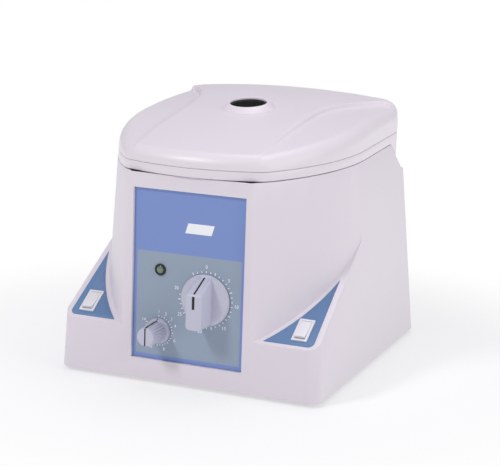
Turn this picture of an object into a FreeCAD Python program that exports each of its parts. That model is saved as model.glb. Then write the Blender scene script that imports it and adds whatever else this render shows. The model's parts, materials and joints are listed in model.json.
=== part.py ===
"""Benchtop microcentrifuge: drafted housing with two sloped switch consoles, recessed control
panel, hinged two-piece lid with a window, angle rotor in a bowl, motor and controls.

Sizes are in millimetres. Shapes are worked out in the shell's own coordinates: X to the right,
Y to the back, Z up, with the origin in the middle of the shell's bottom edge. Each piece is then
placed so that the part's origin is under the middle of its box, on the surface it stands on.
"""
import FreeCAD, Part
import math
import os
import Sketcher

Vector = FreeCAD.Vector
Rotation = FreeCAD.Rotation

# Driving dimensions
SIZES = {
    # Housing, side walls, front wall and rear wall
    "base_half_width": 133.0,
    "base_half_depth": 142.7,
    "side_lean": 3.38,
    "front_lean": 1.604,
    "rear_lean": 6.62,
    "wall": 3.0,
    "front_wall": 6.0,
    "base_corner_radius": 11.0,
    "front_corner_radius": 6.0,
    # Swept side wall above the consoles: plan circle at the bottom and at the lid gap
    "sweep_radius_low": 167.0,
    "sweep_radius_high": 185.0,
    "sweep_start_low": -10.0,
    "sweep_start_high": 0.0,
    "sweep_high": 196.0,
    # Sloped consoles
    "console_height": 49.9,
    "console_slope": 31.4,
    # Top edge of the housing, rear slope and shelf
    "gap_front_height": 195.8,
    "gap_slope": 2.23,
    "slope_start": 74.4,
    "notch_back": 106.5,
    "notch_height": 176.8,
    "shelf_slope": 17.6,
    "deck_height": 186.0,
    "deck_thickness": 3.0,
    "recess_back": 88.0,
    # Lid
    "lid_gap": 0.8,
    "rim_height": 9.0,
    "lid_front": 139.6,
    "lid_front_radius": 210.0,
    "lid_corner_radius": 24.0,
    "lid_rear_lean": 14.3,
    "lid_crown_radius": 980.0,
    "lid_crown_back": 110.0,
    "lid_top": 249.5,
    "lid_edge_radius": 14.5,
    "lid_wall": 3.0,
    "scoop_tilt": 1.0,
    "scoop_hinge_back": 125.0,
    "crease_front": 61.5,
    "crease_middle": 66.3,
    "crease_turn": -7.0,
    "crease_radius": 160.0,
    "liner_thickness": 2.5,
    "hinge_back": 114.5,
    "hinge_height": 181.0,
    "hinge_spacing": 60.0,
    "hinge_barrel_radius": 3.6,
    "hinge_pin_radius": 1.6,
    "hinge_width": 30.0,
    "hinge_leaf": 1.6,
    # Lid window
    "window_radius": 18.0,
    "window_thickness": 3.0,
    "window_ring_base": 26.6,
    "window_ring_top": 19.6,
    "window_ring_height": 5.0,
    "window_recess": 1.6,
    # Chamber, gasket and rotor
    "rotor_back": -4.6,
    "bowl_radius": 82.0,
    "bowl_wall": 1.2,
    "bowl_depth": 62.0,
    "bowl_corner": 14.0,
    "bowl_flange_radius": 92.0,
    "bowl_screw_circle": 89.4,
    "bowl_screw_radius": 1.2,
    "bowl_screw_head": 2.2,
    "bowl_hole_radius": 9.0,
    "gasket_height": 6.0,
    "gasket_inner_radius": 83.5,
    "gasket_outer_radius": 86.6,
    "seal_gap": 0.4,
    "rotor_radius": 72.0,
    "rotor_lift": 7.0,
    "hub_radius": 12.0,
    "hub_height": 36.0,
    "tube_hole_radius": 5.6,
    "tube_hole_depth": 38.0,
    "tube_hole_circle": 38.0,
    "tube_angle": 45.0,
    "tube_count": 12,
    "nut_radius": 11.0,
    "nut_height": 12.0,
    "shaft_radius": 5.0,
    "running_fit": 0.05,
    # Motor and its mounting
    "motor_radius": 36.0,
    "motor_height": 74.0,
    "motor_wall": 2.5,
    "armature_radius": 27.0,
    "armature_height": 44.0,
    "bearing_radius": 11.0,
    "bearing_height": 7.0,
    "motor_plate_width": 118.0,
    "motor_plate_thickness": 3.0,
    "isolator_radius": 9.0,
    "isolator_height": 18.0,
    "isolator_circle": 46.0,
    # Base
    "base_plate_thickness": 2.0,
    "base_plate_inset": 2.0,
    "fit_gap": 0.3,
    "foot_height": 4.0,
    "foot_radius": 9.0,
    "foot_inset": 26.0,
    "screw_radius": 2.0,
    "screw_head_radius": 3.6,
    "screw_head_height": 1.8,
    "boss_radius": 6.0,
    "boss_height": 24.0,
    "boss_inset": 9.0,
    "boss_front_gap": 1.2,
    # Control panel
    "panel_half_width": 56.7,
    "panel_low": 19.5,
    "panel_high": 182.2,
    "panel_recess": 3.0,
    "panel_thickness": 0.8,
    "panel_gap": 0.2,
    "lamp_x": -28.8,
    "lamp_z": 106.3,
    "lamp_radius": 5.6,
    "lamp_lens_radius": 3.6,
    "lamp_barrel_radius": 4.4,
    "lamp_height": 1.6,
    "timer_x": 18.0,
    "timer_z": 83.0,
    "timer_width": 44.0,
    "timer_depth": 26.0,
    "timer_bush_radius": 5.0,
    "timer_shaft_radius": 3.0,
    "timer_skirt_radius": 24.4,
    "timer_skirt_height": 4.2,
    "timer_grip_width": 15.0,
    "timer_knob_height": 27.0,
    "speed_x": -29.5,
    "speed_z": 47.7,
    "speed_body_radius": 12.0,
    "speed_body_depth": 12.0,
    "speed_bush_radius": 4.5,
    "speed_shaft_radius": 3.0,
    "speed_skirt_radius": 12.2,
    "speed_skirt_height": 4.0,
    "speed_grip_low": 10.2,
    "speed_grip_top": 8.8,
    "speed_knob_height": 28.0,
    "flute_count": 24,
    "bush_height": 5.0,
    "knob_gap": 0.6,
    "nut_thickness": 2.2,
    # Console labels and rocker switches
    "label_thickness": 0.5,
    "label_margin": 4.2,
    "label_side_margin": 5.5,
    "label_front_margin": 3.2,
    "label_corner": 6.0,
    "switch_side_inset": 24.0,
    "switch_front_inset": 20.7,
    "bezel_width": 15.0,
    "bezel_length": 26.5,
    "bezel_height": 1.8,
    "switch_body_depth": 17.0,
    "switch_border": 2.2,
    "rocker_throw": 14.0,
    "rocker_clearance": 0.2,
    "rocker_pin_depth": 1.2,
    "rocker_pin_radius": 0.8,
    # Latch
    "latch_front": 116.0,
    "striker_width": 14.0,
    "striker_thickness": 3.0,
    "striker_eye_radius": 3.2,
    "bolt_radius": 2.5,
    "bolt_stroke": 8.0,
    "solenoid_length": 30.0,
    "solenoid_width": 20.0,
    # Rear inlet and vents
    "inlet_x": -70.0,
    "inlet_z": 42.0,
    "inlet_width": 43.0,
    "inlet_height": 25.0,
    "inlet_depth": 24.0,
    "inlet_flange": 58.0,
    "inlet_flange_height": 30.0,
    "inlet_flange_thickness": 2.5,
    "socket_width": 24.0,
    "socket_height": 16.5,
    "socket_depth": 17.0,
    "fuse_width": 10.0,
    "fuse_height": 16.0,
    "vent_slots": 9,
    "vent_pitch": 9.0,
    "vent_width": 3.0,
    "vent_length": 44.0,
    "vent_low": 70.0,
    # Electronics
    "board_width": 46.0,
    "board_depth": 84.0,
    "board_thickness": 1.6,
    "standoff_height": 8.0,
    "board_inset": 41.0,
    "core_width": 46.0,
    "core_depth": 36.0,
    "core_height": 38.0,
}


class Size:
    """A number that remembers how it was worked out from the sheet."""

    def __init__(self, value, text):
        self.value = float(value)
        self.text = text

    def __add__(self, other):
        other = as_size(other)
        return Size(self.value + other.value, f"({self.text} + {other.text})")

    def __sub__(self, other):
        other = as_size(other)
        return Size(self.value - other.value, f"({self.text} - {other.text})")

    def __mul__(self, other):
        other = as_size(other)
        return Size(self.value * other.value, f"({self.text} * {other.text})")

    def __truediv__(self, other):
        other = as_size(other)
        return Size(self.value / other.value, f"({self.text} / {other.text})")

    def __radd__(self, other):
        return as_size(other) + self

    def __rsub__(self, other):
        return as_size(other) - self

    def __rmul__(self, other):
        return as_size(other) * self

    def __neg__(self):
        return Size(-self.value, f"(0 - {self.text})")


def as_size(value):
    """A plain number as a Size; a Size stays as it is."""
    return value if isinstance(value, Size) else Size(value, repr(float(value)))


def tan(angle):
    """Tangent of an angle in degrees."""
    return Size(math.tan(math.radians(angle.value)), f"tan({angle.text} * 1 deg)")


def cos(angle):
    """Cosine of an angle in degrees."""
    return Size(math.cos(math.radians(angle.value)), f"cos({angle.text} * 1 deg)")


def sin(angle):
    """Sine of an angle in degrees."""
    return Size(math.sin(math.radians(angle.value)), f"sin({angle.text} * 1 deg)")


def root(size):
    """Square root."""
    return Size(math.sqrt(size.value), f"sqrt({size.text})")


def arcsin(ratio):
    """Angle in degrees whose sine is the ratio."""
    return Size(math.degrees(math.asin(ratio.value)), f"(asin({ratio.text}) / 1 deg)")


def larger(first, second):
    """The larger of two sizes."""
    return Size(max(first.value, second.value), f"max({first.text}; {second.text})")


class Sheet:
    """The driving dimensions: s.name is a Size tied to the sheet's cell of that name."""

    def __init__(self, document, sizes):
        self.cells = document.addObject("Spreadsheet::Sheet", "Sizes")
        for row, (name, value) in enumerate(sizes.items(), start=1):
            self.cells.set(f"A{row}", name)
            self.cells.set(f"B{row}", str(value))
            self.cells.setAlias(f"B{row}", name)
        document.recompute()

    def __getattr__(self, name):
        return Size(float(self.cells.get(name)), f"Sizes.{name}")


doc = FreeCAD.newDocument("Centrifuge")
s = Sheet(doc, SIZES)

# Slopes and planes shared by several pieces
side_slope = tan(s.side_lean)
front_slope = tan(s.front_lean)
rear_slope = tan(s.rear_lean)
gap_rise = tan(s.gap_slope)
console_rise = tan(s.console_slope)
console_front = -s.base_half_depth + front_slope * s.console_height
front_at_gap = -s.base_half_depth + front_slope * s.gap_front_height
slope_start_height = s.gap_front_height + gap_rise * (s.slope_start - front_at_gap)
console_turn = s.console_slope
front_turn = 90 - s.front_lean
rear_turn = s.rear_lean - 90
panel_floor = s.panel_recess + s.panel_thickness
plate_top = s.base_plate_inset + s.base_plate_thickness
switch_x = s.base_half_width - s.switch_side_inset
switch_y = s.switch_front_inset - s.base_half_depth
board_x = s.base_half_width - s.board_inset
motor_plate_low = plate_top + s.isolator_height
motor_low = motor_plate_low + s.motor_plate_thickness
motor_top = motor_low + s.motor_height
bowl_floor = s.deck_height + s.bowl_wall - s.bowl_depth
rotor_low = bowl_floor + s.rotor_lift
gasket_low = s.deck_height + s.bowl_wall
liner_low = gasket_low + s.gasket_height + s.seal_gap
deck_height_at_window = s.lid_top - s.lid_crown_radius + root(
    s.lid_crown_radius * s.lid_crown_radius - (s.lid_crown_back - s.rotor_back) * (s.lid_crown_back - s.rotor_back))
window_tilt = arcsin((s.lid_crown_back - s.rotor_back) / s.lid_crown_radius)


def reach_forward(height, knob_height, radius):
    """How far in front of the shell's middle a knob of the front panel reaches."""
    out = knob_height + s.knob_gap - s.panel_recess
    return s.base_half_depth - front_slope * height + out * cos(s.front_lean) + radius * sin(s.front_lean)


knob_front = larger(reach_forward(s.speed_z, s.speed_knob_height, s.speed_grip_top - 0.7),
                    reach_forward(s.timer_z, s.timer_knob_height, s.timer_skirt_radius - 2))
y_shift = (knob_front - s.base_half_depth) / 2


def place(thing, x=0, y=0, z=0, axis=None, turn=None):
    """Puts a piece at a point of the shell's coordinates, turned about an axis by an angle."""
    if axis is not None:
        thing.Placement = FreeCAD.Placement(Vector(), Rotation(axis, as_size(turn).value))
        thing.setExpression("Placement.Rotation.Angle", as_size(turn).text)
    thing.setExpression("Placement.Base.x", as_size(x).text)
    thing.setExpression("Placement.Base.y", (as_size(y) + y_shift).text)
    thing.setExpression("Placement.Base.z", (as_size(z) + s.foot_height).text)
    return thing


X_AXIS = Vector(1, 0, 0)
Y_AXIS = Vector(0, 1, 0)


def on_front(x, height, out=0):
    """Place of a point of the leaning front wall, and a turn that stands a piece out of it."""
    out = as_size(out)
    height = as_size(height)
    y = -s.base_half_depth + front_slope * height - out * cos(s.front_lean)
    z = height + out * sin(s.front_lean)
    return {"x": x, "y": y, "z": z, "axis": X_AXIS, "turn": front_turn}


def on_console(x, y, out=0):
    """Place of a point of a sloped console, and a turn that stands a piece out of it."""
    out = as_size(out)
    rise = s.console_height + console_rise * (as_size(y) - console_front)
    back = as_size(y) - out * sin(s.console_slope)
    return {"x": x, "y": back, "z": rise + out * cos(s.console_slope), "axis": X_AXIS, "turn": console_turn}


def on_rear(x, height, out=0):
    """Place of a point of the leaning rear wall, and a turn that stands a piece out of it."""
    out = as_size(out)
    height = as_size(height)
    y = s.base_half_depth - rear_slope * height + out * cos(s.rear_lean)
    return {"x": x, "y": y, "z": height + out * sin(s.rear_lean), "axis": X_AXIS, "turn": rear_turn}


# Sketches and features
pieces = []


def keep(thing):
    """Lists a piece for export."""
    pieces.append(thing)
    return thing


def new_body(label):
    """A body that will be one piece."""
    made = doc.addObject("PartDesign::Body", label)
    made.Label = label
    return keep(made)


def origin_plane(owner, role):
    """One of a body's own origin planes."""
    return next(part for part in owner.Origin.OriginFeatures if part.Role == role)


def new_sketch(owner, role, name, lift=None):
    """An empty sketch on one of the body's own origin planes, lifted along its normal."""
    sketch = owner.newObject("Sketcher::SketchObject", name)
    sketch.AttachmentSupport = [(origin_plane(owner, role), "")]
    sketch.MapMode = "FlatFace"
    if lift is not None:
        sketch.AttachmentOffset = FreeCAD.Placement(Vector(0, 0, as_size(lift).value), Rotation())
        sketch.setExpression("AttachmentOffset.Base.z", as_size(lift).text)
    return sketch


def tie(sketch, kind, position, geometry, vertex, size):
    """Holds a point of a sketch at a distance from its origin that follows the sheet."""
    size = as_size(size)
    index = sketch.addConstraint(Sketcher.Constraint(kind, -1, 1, geometry, vertex, size.value))
    if "Sizes" in size.text:
        sketch.setExpression(f"Constraints[{index}]", size.text)


def polygon(owner, role, points, name="Outline", lift=None):
    """A closed sketch of straight sides through the points."""
    sketch = new_sketch(owner, role, name, lift)
    corners = [(as_size(u), as_size(v)) for u, v in points]
    for index, (u, v) in enumerate(corners):
        end = corners[(index + 1) % len(corners)]
        line = Part.LineSegment(Vector(u.value, v.value, 0), Vector(end[0].value, end[1].value, 0))
        sketch.addGeometry(line, False)
    for index in range(len(corners)):
        following = (index + 1) % len(corners)
        sketch.addConstraint(Sketcher.Constraint("Coincident", index, 2, following, 1))
    for index, (u, v) in enumerate(corners):
        tie(sketch, "DistanceX", "start", index, 1, u)
        tie(sketch, "DistanceY", "start", index, 1, v)
    return sketch


def circles(owner, role, rounds, name="Rounds", lift=None):
    """A sketch of circles, each given as centre x, centre y and radius."""
    sketch = new_sketch(owner, role, name, lift)
    for index, (u, v, radius) in enumerate(rounds):
        centre = Vector(as_size(u).value, as_size(v).value, 0)
        sketch.addGeometry(Part.Circle(centre, Vector(0, 0, 1), as_size(radius).value), False)
        tie(sketch, "DistanceX", "centre", index, 3, u)
        tie(sketch, "DistanceY", "centre", index, 3, v)
        number = sketch.addConstraint(Sketcher.Constraint("Radius", index, as_size(radius).value))
        sketch.setExpression(f"Constraints[{number}]", as_size(radius).text)
    return sketch


def revolve(owner, points, name="Turned"):
    """Turns a closed profile of radius and height about the body's Z axis."""
    sketch = polygon(owner, "XZ_Plane", points, name + "Profile")
    turned = owner.newObject("PartDesign::Revolution", name)
    turned.Profile = sketch
    turned.ReferenceAxis = (sketch, ["V_Axis"])
    turned.Angle = 360
    return turned


def pad(owner, sketch, length, name="Pad", reverse=False):
    """Thickens a sketch along its normal."""
    made = owner.newObject("PartDesign::Pad", name)
    made.Profile = sketch
    made.Length = as_size(length).value
    made.setExpression("Length", as_size(length).text)
    made.Reversed = reverse
    return made


def cut_through(owner, sketch, name="Holes"):
    """Cuts a sketch right through the body, both ways."""
    made = owner.newObject("PartDesign::Pocket", name)
    made.Profile = sketch
    made.Type = "ThroughAll"
    made.Midplane = True
    return made


def pocket(owner, sketch, depth, name="Pocket", reverse=False):
    """Cuts a sketch to a depth, against its normal unless reversed."""
    made = owner.newObject("PartDesign::Pocket", name)
    made.Profile = sketch
    made.Length = as_size(depth).value
    made.setExpression("Length", as_size(depth).text)
    made.Reversed = reverse
    return made


def around(owner, feature, count, name="Around"):
    """Repeats a feature about the body's Z axis."""
    doc.recompute()
    made = owner.newObject("PartDesign::PolarPattern", name)
    made.Originals = [feature]
    made.Axis = (next(part for part in owner.Origin.OriginFeatures if part.Role == "Z_Axis"), [""])
    made.Angle = 360
    made.Occurrences = int(as_size(count).value)
    if isinstance(count, Size):
        made.setExpression("Occurrences", count.text)
    owner.Tip = made
    return made


def rectangle(x0, y0, x1, y1):
    """Corners of a rectangle."""
    return [(x0, y0), (x1, y0), (x1, y1), (x0, y1)]


def box(name, width, depth, height):
    """A box whose sides follow the sheet."""
    made = doc.addObject("Part::Box", name)
    made.setExpression("Length", as_size(width).text)
    made.setExpression("Width", as_size(depth).text)
    made.setExpression("Height", as_size(height).text)
    return made


def cylinder(name, radius, height):
    """A cylinder whose sizes follow the sheet."""
    made = doc.addObject("Part::Cylinder", name)
    made.setExpression("Radius", as_size(radius).text)
    made.setExpression("Height", as_size(height).text)
    return made


def group(label, members):
    """Several separate solids kept as one piece."""
    made = doc.addObject("Part::Compound", label)
    made.Label = label
    made.Links = members
    return keep(made)


def join(label, members):
    """One solid out of several that touch."""
    made = doc.addObject("Part::MultiFuse", label)
    made.Label = label
    made.Shapes = members
    made.Refine = True
    return keep(made)


def symmetric_pad(owner, sketch, length, name="Pad"):
    """Thickens a sketch by a length, half of it on each side of the sketch."""
    made = pad(owner, sketch, length, name)
    made.Midplane = True
    return made


def hexagon(radius):
    """Corners of a hexagon."""
    return [(radius * round(math.cos(math.radians(60 * k)), 6), radius * round(math.sin(math.radians(60 * k)), 6))
            for k in range(6)]


def screws(label, places, head_radius, head_height, shank_radius, shank_length, turn=0, down=False):
    """Screws with round heads, driven up, or down if asked, each at a place of the shell."""
    made = []
    for index, (x, y, z) in enumerate(places):
        head = cylinder(f"{label}_head_{index}", head_radius, head_height)
        shank = cylinder(f"{label}_shank_{index}", shank_radius, shank_length)
        lower, upper = (shank, head) if down else (head, shank)
        low = shank_length if down else head_height
        lower.setExpression("Placement.Base.z", f"0 - {as_size(low).text}")
        screw = doc.addObject("Part::MultiFuse", f"{label}_{index}")
        screw.Shapes = [lower, upper]
        screw.Placement = FreeCAD.Placement(Vector(), Rotation(X_AXIS, as_size(turn).value))
        screw.setExpression("Placement.Rotation.Angle", as_size(turn).text)
        for axis, size in (("x", x), ("y", y), ("z", z)):
            screw.setExpression(f"Placement.Base.{axis}", as_size(size).text)
        made.append(screw)
    return place(group(label, made))


# Moulded shells. Their drafted, swept and domed walls are made with shape functions.
BIG = 420.0


class Numbers:
    """The sheet's values as plain numbers, for the moulded shells."""

    def __getattr__(self, name):
        return getattr(s, name).value


n = Numbers()


def prism(points):
    """A solid with a side profile in Y and Z, as wide as any piece."""
    corners = [Vector(-BIG, y, z) for y, z in points]
    face = Part.Face(Part.makePolygon(corners + corners[:1]))
    return face.extrude(Vector(2 * BIG, 0, 0))


def gap_height(y, lift=0.0):
    """Height of the joint between housing and lid."""
    return n.gap_front_height + gap_rise.value * (y - front_at_gap.value) + lift


def console_plane(y, sink=0.0):
    """Height of the sloped consoles, or of the plane that lies sunk below them."""
    drop = sink / math.cos(math.radians(n.console_slope))
    return n.console_height + console_rise.value * (y - console_front.value) - drop


def sweep_circle(z, inset):
    """Plan circle of the swept side wall at a height: centre x, centre y and radius."""
    share = z / n.sweep_high
    radius = n.sweep_radius_low + (n.sweep_radius_high - n.sweep_radius_low) * share
    start = n.sweep_start_low + (n.sweep_start_high - n.sweep_start_low) * share
    half_width = n.base_half_width - side_slope.value * z
    return half_width - radius, start, radius - inset


def drafted_block(low, high, inset, front_inset):
    """The housing's four leaning walls as a solid block."""
    def corners(z):
        x = n.base_half_width - side_slope.value * z - inset
        front = -n.base_half_depth + front_slope.value * z + front_inset
        back = n.base_half_depth - rear_slope.value * z - inset
        return x, front, back
    x0, f0, b0 = corners(low)
    x1, f1, b1 = corners(high)
    block = Part.makeWedge(-x0, low, -b0, -b1, -x1, x0, high, -f0, -f1, x1)
    block.rotate(Vector(), X_AXIS, 90)
    return block


def swept_cutter(side, inset, sink=None):
    """What lies outside the swept side wall and above the console, on one side."""
    overlap = 0.25
    reach = 64.0

    def wire(z):
        cx, cy, radius = sweep_circle(z, inset)
        radius += overlap

        def point(angle):
            a = math.radians(angle)
            return Vector(side * (cx + radius * math.cos(a)), cy - radius * math.sin(a), z)
        start, end = point(0), point(reach)
        arc = Part.Arc(start, point(reach / 2), end).toShape()
        corners = [end, Vector(end.x, -BIG, z), Vector(side * BIG, -BIG, z), Vector(side * BIG, start.y, z), start]
        lines = [Part.makeLine(a, b) for a, b in zip(corners, corners[1:])]
        return Part.Wire([arc] + lines)
    outside = Part.makeLoft([wire(0.0), wire(1.4 * n.sweep_high)], True, True)
    sink = inset if sink is None else sink
    below = [(-BIG, -BIG), (-BIG, console_plane(-BIG, sink)), (BIG, console_plane(BIG, sink)), (BIG, -BIG)]
    return outside.cut(prism(below))


def upright_edges(shape, chosen):
    """Edges that stand up, at places that the test picks by x and y."""
    found = []
    for edge in shape.Edges:
        ends = [vertex.Point for vertex in edge.Vertexes]
        if len(ends) == 2 and abs(ends[0].z - ends[1].z) > 30:
            middle = (ends[0] + ends[1]) * 0.5
            if chosen(abs(middle.x), middle.y):
                found.append(edge)
    return found


def housing_plan(low, high, inset, front_inset):
    """Solid inside the housing's walls, with rounded uprights and both consoles cut."""
    block = drafted_block(low, high, inset, front_inset)
    for side in (-1, 1):
        block = block.cut(swept_cutter(side, inset))
    corner = n.base_corner_radius - inset
    outer = upright_edges(block, lambda x, y: x > 0.75 * n.base_half_width and abs(y) > 0.55 * n.base_half_depth)
    block = block.makeFillet(corner, outer)
    inner = upright_edges(block, lambda x, y: x < 0.75 * n.base_half_width and y < -0.6 * n.base_half_depth)
    return block.makeFillet(max(n.front_corner_radius - inset, 1.0), inner)


def slope_height(y, sink=0.0):
    """Height of the housing's rear slope, behind the lid's side joint."""
    fall = (slope_start_height.value - n.notch_height) / (n.notch_back - n.slope_start)
    return slope_start_height.value - fall * (y - n.slope_start) - sink * math.hypot(1, fall)


def shelf_height(y, sink=0.0):
    """Height of the shelf behind the lid."""
    fall = math.tan(math.radians(n.shelf_slope))
    return n.notch_height - fall * (y - n.notch_back) - sink * math.hypot(1, fall)


def crossing(first, second, low, high):
    """Where two falling lines of height meet, between two values of y."""
    for _ in range(60):
        middle = (low + high) / 2
        if (first(low) - second(low)) * (first(middle) - second(middle)) <= 0:
            high = middle
        else:
            low = middle
    return (low + high) / 2


def feature(label, shape):
    """Keeps a moulded shell as a piece of the document."""
    made = doc.addObject("Part::Feature", label)
    made.Label = label
    made.Shape = shape
    place(made)
    return keep(made)


def turned_box(x, y, z, width, depth, height, turn):
    """A box centred on a point of the shell in X and in its own plane, turned about X."""
    made = Part.makeBox(width, height, depth, Vector(-width / 2, -height / 2, 0))
    made.rotate(Vector(), X_AXIS, turn)
    made.translate(Vector(x, y, z))
    return made


def turned_round(where, radius, low, high):
    """A cylinder that stands out of a wall: where is a place given by on_front and its like."""
    made = Part.makeCylinder(radius, high - low, Vector(0, 0, low))
    made.rotate(Vector(), X_AXIS, as_size(where["turn"]).value)
    made.translate(Vector(*(as_size(where[key]).value for key in ("x", "y", "z"))))
    return made


def turned_block(where, width, height, low, high):
    """A box that stands out of a wall, centred on the place."""
    made = Part.makeBox(width, height, high - low, Vector(-width / 2, -height / 2, low))
    made.rotate(Vector(), X_AXIS, as_size(where["turn"]).value)
    made.translate(Vector(*(as_size(where[key]).value for key in ("x", "y", "z"))))
    return made


panel_middle = (s.panel_low + s.panel_high) / 2
vent_middle = s.vent_low + s.vent_length / 2


def boss_places():
    """Places of the four screw bosses under the shell's corners."""
    reach = s.base_half_width - s.boss_inset
    rear = s.base_half_depth - s.boss_inset
    front = s.front_wall + s.screw_head_radius + s.boss_front_gap + front_slope * plate_top - s.base_half_depth
    return [(side * reach, y) for side in (-1, 1) for y in (front, rear)]


def ring_screw_places():
    """Places of the bowl's six screws about the rotor's axis."""
    turns = [math.radians(60 * k) for k in range(6)]
    return [(n.bowl_screw_circle * math.cos(a), n.bowl_screw_circle * math.sin(a)) for a in turns]


def housing_shape():
    """The housing: one moulding with a recess under the lid and room for the bowl."""
    top = 1.2 * n.sweep_high
    notch = (n.notch_back, n.notch_height)
    upper = [(-BIG, -BIG), (-BIG, gap_height(-BIG)), (n.slope_start, slope_start_height.value), notch,
             (BIG, shelf_height(BIG)), (BIG, -BIG)]
    outside = housing_plan(0.0, top, 0.0, 0.0).common(prism(upper))
    under = n.deck_height - n.deck_thickness
    first = crossing(lambda y: under, lambda y: slope_height(y, n.wall), n.slope_start, n.notch_back)
    second = crossing(lambda y: slope_height(y, n.wall), lambda y: shelf_height(y, n.wall), first, n.notch_back + 5)
    hollow = [(-BIG, -BIG), (-BIG, under), (first, under), (second, slope_height(second, n.wall)),
              (BIG, shelf_height(BIG, n.wall)), (BIG, -BIG)]
    inside = housing_plan(-5.0, top, n.wall, n.front_wall)
    cavity = inside.common(prism(hollow))
    recess = housing_plan(-5.0, top, n.wall, n.wall).common(
        prism([(-BIG, n.deck_height), (n.recess_back, n.deck_height), (n.recess_back, BIG), (-BIG, BIG)]))
    shell = outside.cut(cavity).cut(recess)
    hole = Part.makeCylinder(n.bowl_radius + n.bowl_wall + n.fit_gap, 40, Vector(0, n.rotor_back, n.deck_height - 20))
    shell = shell.cut(hole)
    for x, y in ring_screw_places():
        shell = shell.cut(Part.makeCylinder(n.bowl_screw_radius, 20, Vector(x, n.rotor_back + y, n.deck_height - 10)))
    slot = Part.makeBox(n.striker_thickness + 5, n.striker_width + 9, 30,
                        Vector(-n.striker_thickness / 2 - 2.5, -n.latch_front - n.striker_width / 2 - 4.5,
                               n.deck_height - 15))
    shell = shell.cut(slot)
    for x, y in boss_places():
        boss = Part.makeCylinder(n.boss_radius, n.boss_height, Vector(x.value, y.value, plate_top.value))
        shell = shell.fuse(boss.common(outside))
        pilot = Part.makeCylinder(n.screw_radius, n.boss_height - 4, Vector(x.value, y.value, 0))
        shell = shell.cut(pilot)
    recess_height = n.panel_high - n.panel_low
    shell = shell.cut(turned_block(on_front(0, panel_middle), 2 * n.panel_half_width, recess_height,
                                   -panel_floor.value, 20))
    for where, radius in (
            (on_front(s.timer_x, s.timer_z), n.timer_bush_radius + n.fit_gap),
            (on_front(s.speed_x, s.speed_z), n.speed_bush_radius + n.fit_gap),
            (on_front(s.lamp_x, s.lamp_z), n.lamp_barrel_radius + n.panel_gap)):
        shell = shell.cut(turned_round(where, radius, -20, 5))
    for side in (-1, 1):
        body = turned_block(on_console(side * switch_x, switch_y), n.bezel_width - n.switch_border,
                            n.bezel_length - n.switch_border, -20, 5)
        shell = shell.cut(body)
    shell = shell.cut(turned_block(on_rear(s.inlet_x, s.inlet_z), n.inlet_width + n.fit_gap,
                                   n.inlet_height + n.fit_gap, -20, 10))
    for index in range(int(n.vent_slots)):
        x = (index - (n.vent_slots - 1) / 2) * n.vent_pitch
        shell = shell.cut(turned_block(on_rear(x, vent_middle), n.vent_width, n.vent_length, -20, 10))
    return shell.removeSplitter()


def label_shape(side):
    """A thin label that covers most of a console, round its switch."""
    slab = prism([(-BIG, console_plane(-BIG)), (BIG, console_plane(BIG)), (BIG, console_plane(BIG, -n.label_thickness)),
                  (-BIG, console_plane(-BIG, -n.label_thickness))])
    label = drafted_block(0.0, n.sweep_high, n.label_side_margin, n.label_front_margin).common(slab)
    label = label.common(swept_cutter(side, -n.label_margin, 2.0))
    radius = n.label_corner
    x = n.base_half_width - side_slope.value * n.console_height - n.label_side_margin - radius
    y = console_front.value + n.label_front_margin + radius
    square = Part.makeBox(BIG, BIG, BIG, Vector(x, y - BIG, 0))
    square = square.cut(Part.makeCylinder(radius, BIG, Vector(x, y, 0)))
    if side < 0:
        square = square.mirror(Vector(), X_AXIS)
    label = label.cut(square)
    return label.cut(turned_block(on_console(side * switch_x, switch_y), n.bezel_width + 2 * n.panel_gap,
                                  n.bezel_length + 2 * n.panel_gap, -5, 5))


def lid_section(z, inset):
    """Plan outline of the lid at a height: bowed front, swept sides, straight rear, round corners."""
    cx, cy, radius = sweep_circle(z, inset)
    front_radius = n.lid_front_radius - inset
    front_centre = n.lid_front_radius - n.lid_front
    corner = n.lid_corner_radius - inset
    half_width = n.base_half_width - side_slope.value * z - inset
    rear = n.notch_back + math.tan(math.radians(n.lid_rear_lean)) * (z - n.notch_height) - inset
    first, second = front_radius - corner, radius - corner
    span = math.hypot(cx, cy - front_centre)
    along = (first ** 2 - second ** 2 + span ** 2) / (2 * span)
    across = math.sqrt(first ** 2 - along ** 2)
    ux, uy = cx / span, (cy - front_centre) / span
    kx, ky = ux * along - uy * across, front_centre + uy * along + ux * across
    if kx < 0 or ky > 0:
        kx, ky = ux * along + uy * across, front_centre + uy * along - ux * across
    a = Vector(kx * front_radius / first, front_centre + (ky - front_centre) * front_radius / first, z)
    b = Vector(cx + (kx - cx) * radius / second, cy + (ky - cy) * radius / second, z)
    c = Vector(half_width, cy, z)
    d = Vector(half_width, rear - corner, z)
    e = Vector(half_width - corner, rear, z)
    middle = Vector(kx, ky, z) + ((a + b) * 0.5 - Vector(kx, ky, z)).normalize() * corner
    swing = (math.atan2(b.y - cy, b.x - cx)) / 2
    side_middle = Vector(cx + radius * math.cos(swing), cy + radius * math.sin(swing), z)
    rear_middle = Vector(half_width - corner + corner * math.sqrt(0.5), rear - corner + corner * math.sqrt(0.5), z)

    def flip(point):
        return Vector(-point.x, point.y, point.z)
    front_middle = Vector(0, front_centre - front_radius, z)
    edges = [
        Part.Arc(flip(a), front_middle, a).toShape(),
        Part.Arc(a, middle, b).toShape(),
        Part.Arc(b, side_middle, c).toShape(),
        Part.makeLine(c, d),
        Part.Arc(d, rear_middle, e).toShape(),
        Part.makeLine(e, flip(e)),
        Part.Arc(flip(e), flip(rear_middle), flip(d)).toShape(),
        Part.makeLine(flip(d), flip(c)),
        Part.Arc(flip(c), flip(side_middle), flip(b)).toShape(),
        Part.Arc(flip(b), flip(middle), flip(a)).toShape(),
    ]
    return Part.Wire(edges)


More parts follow.
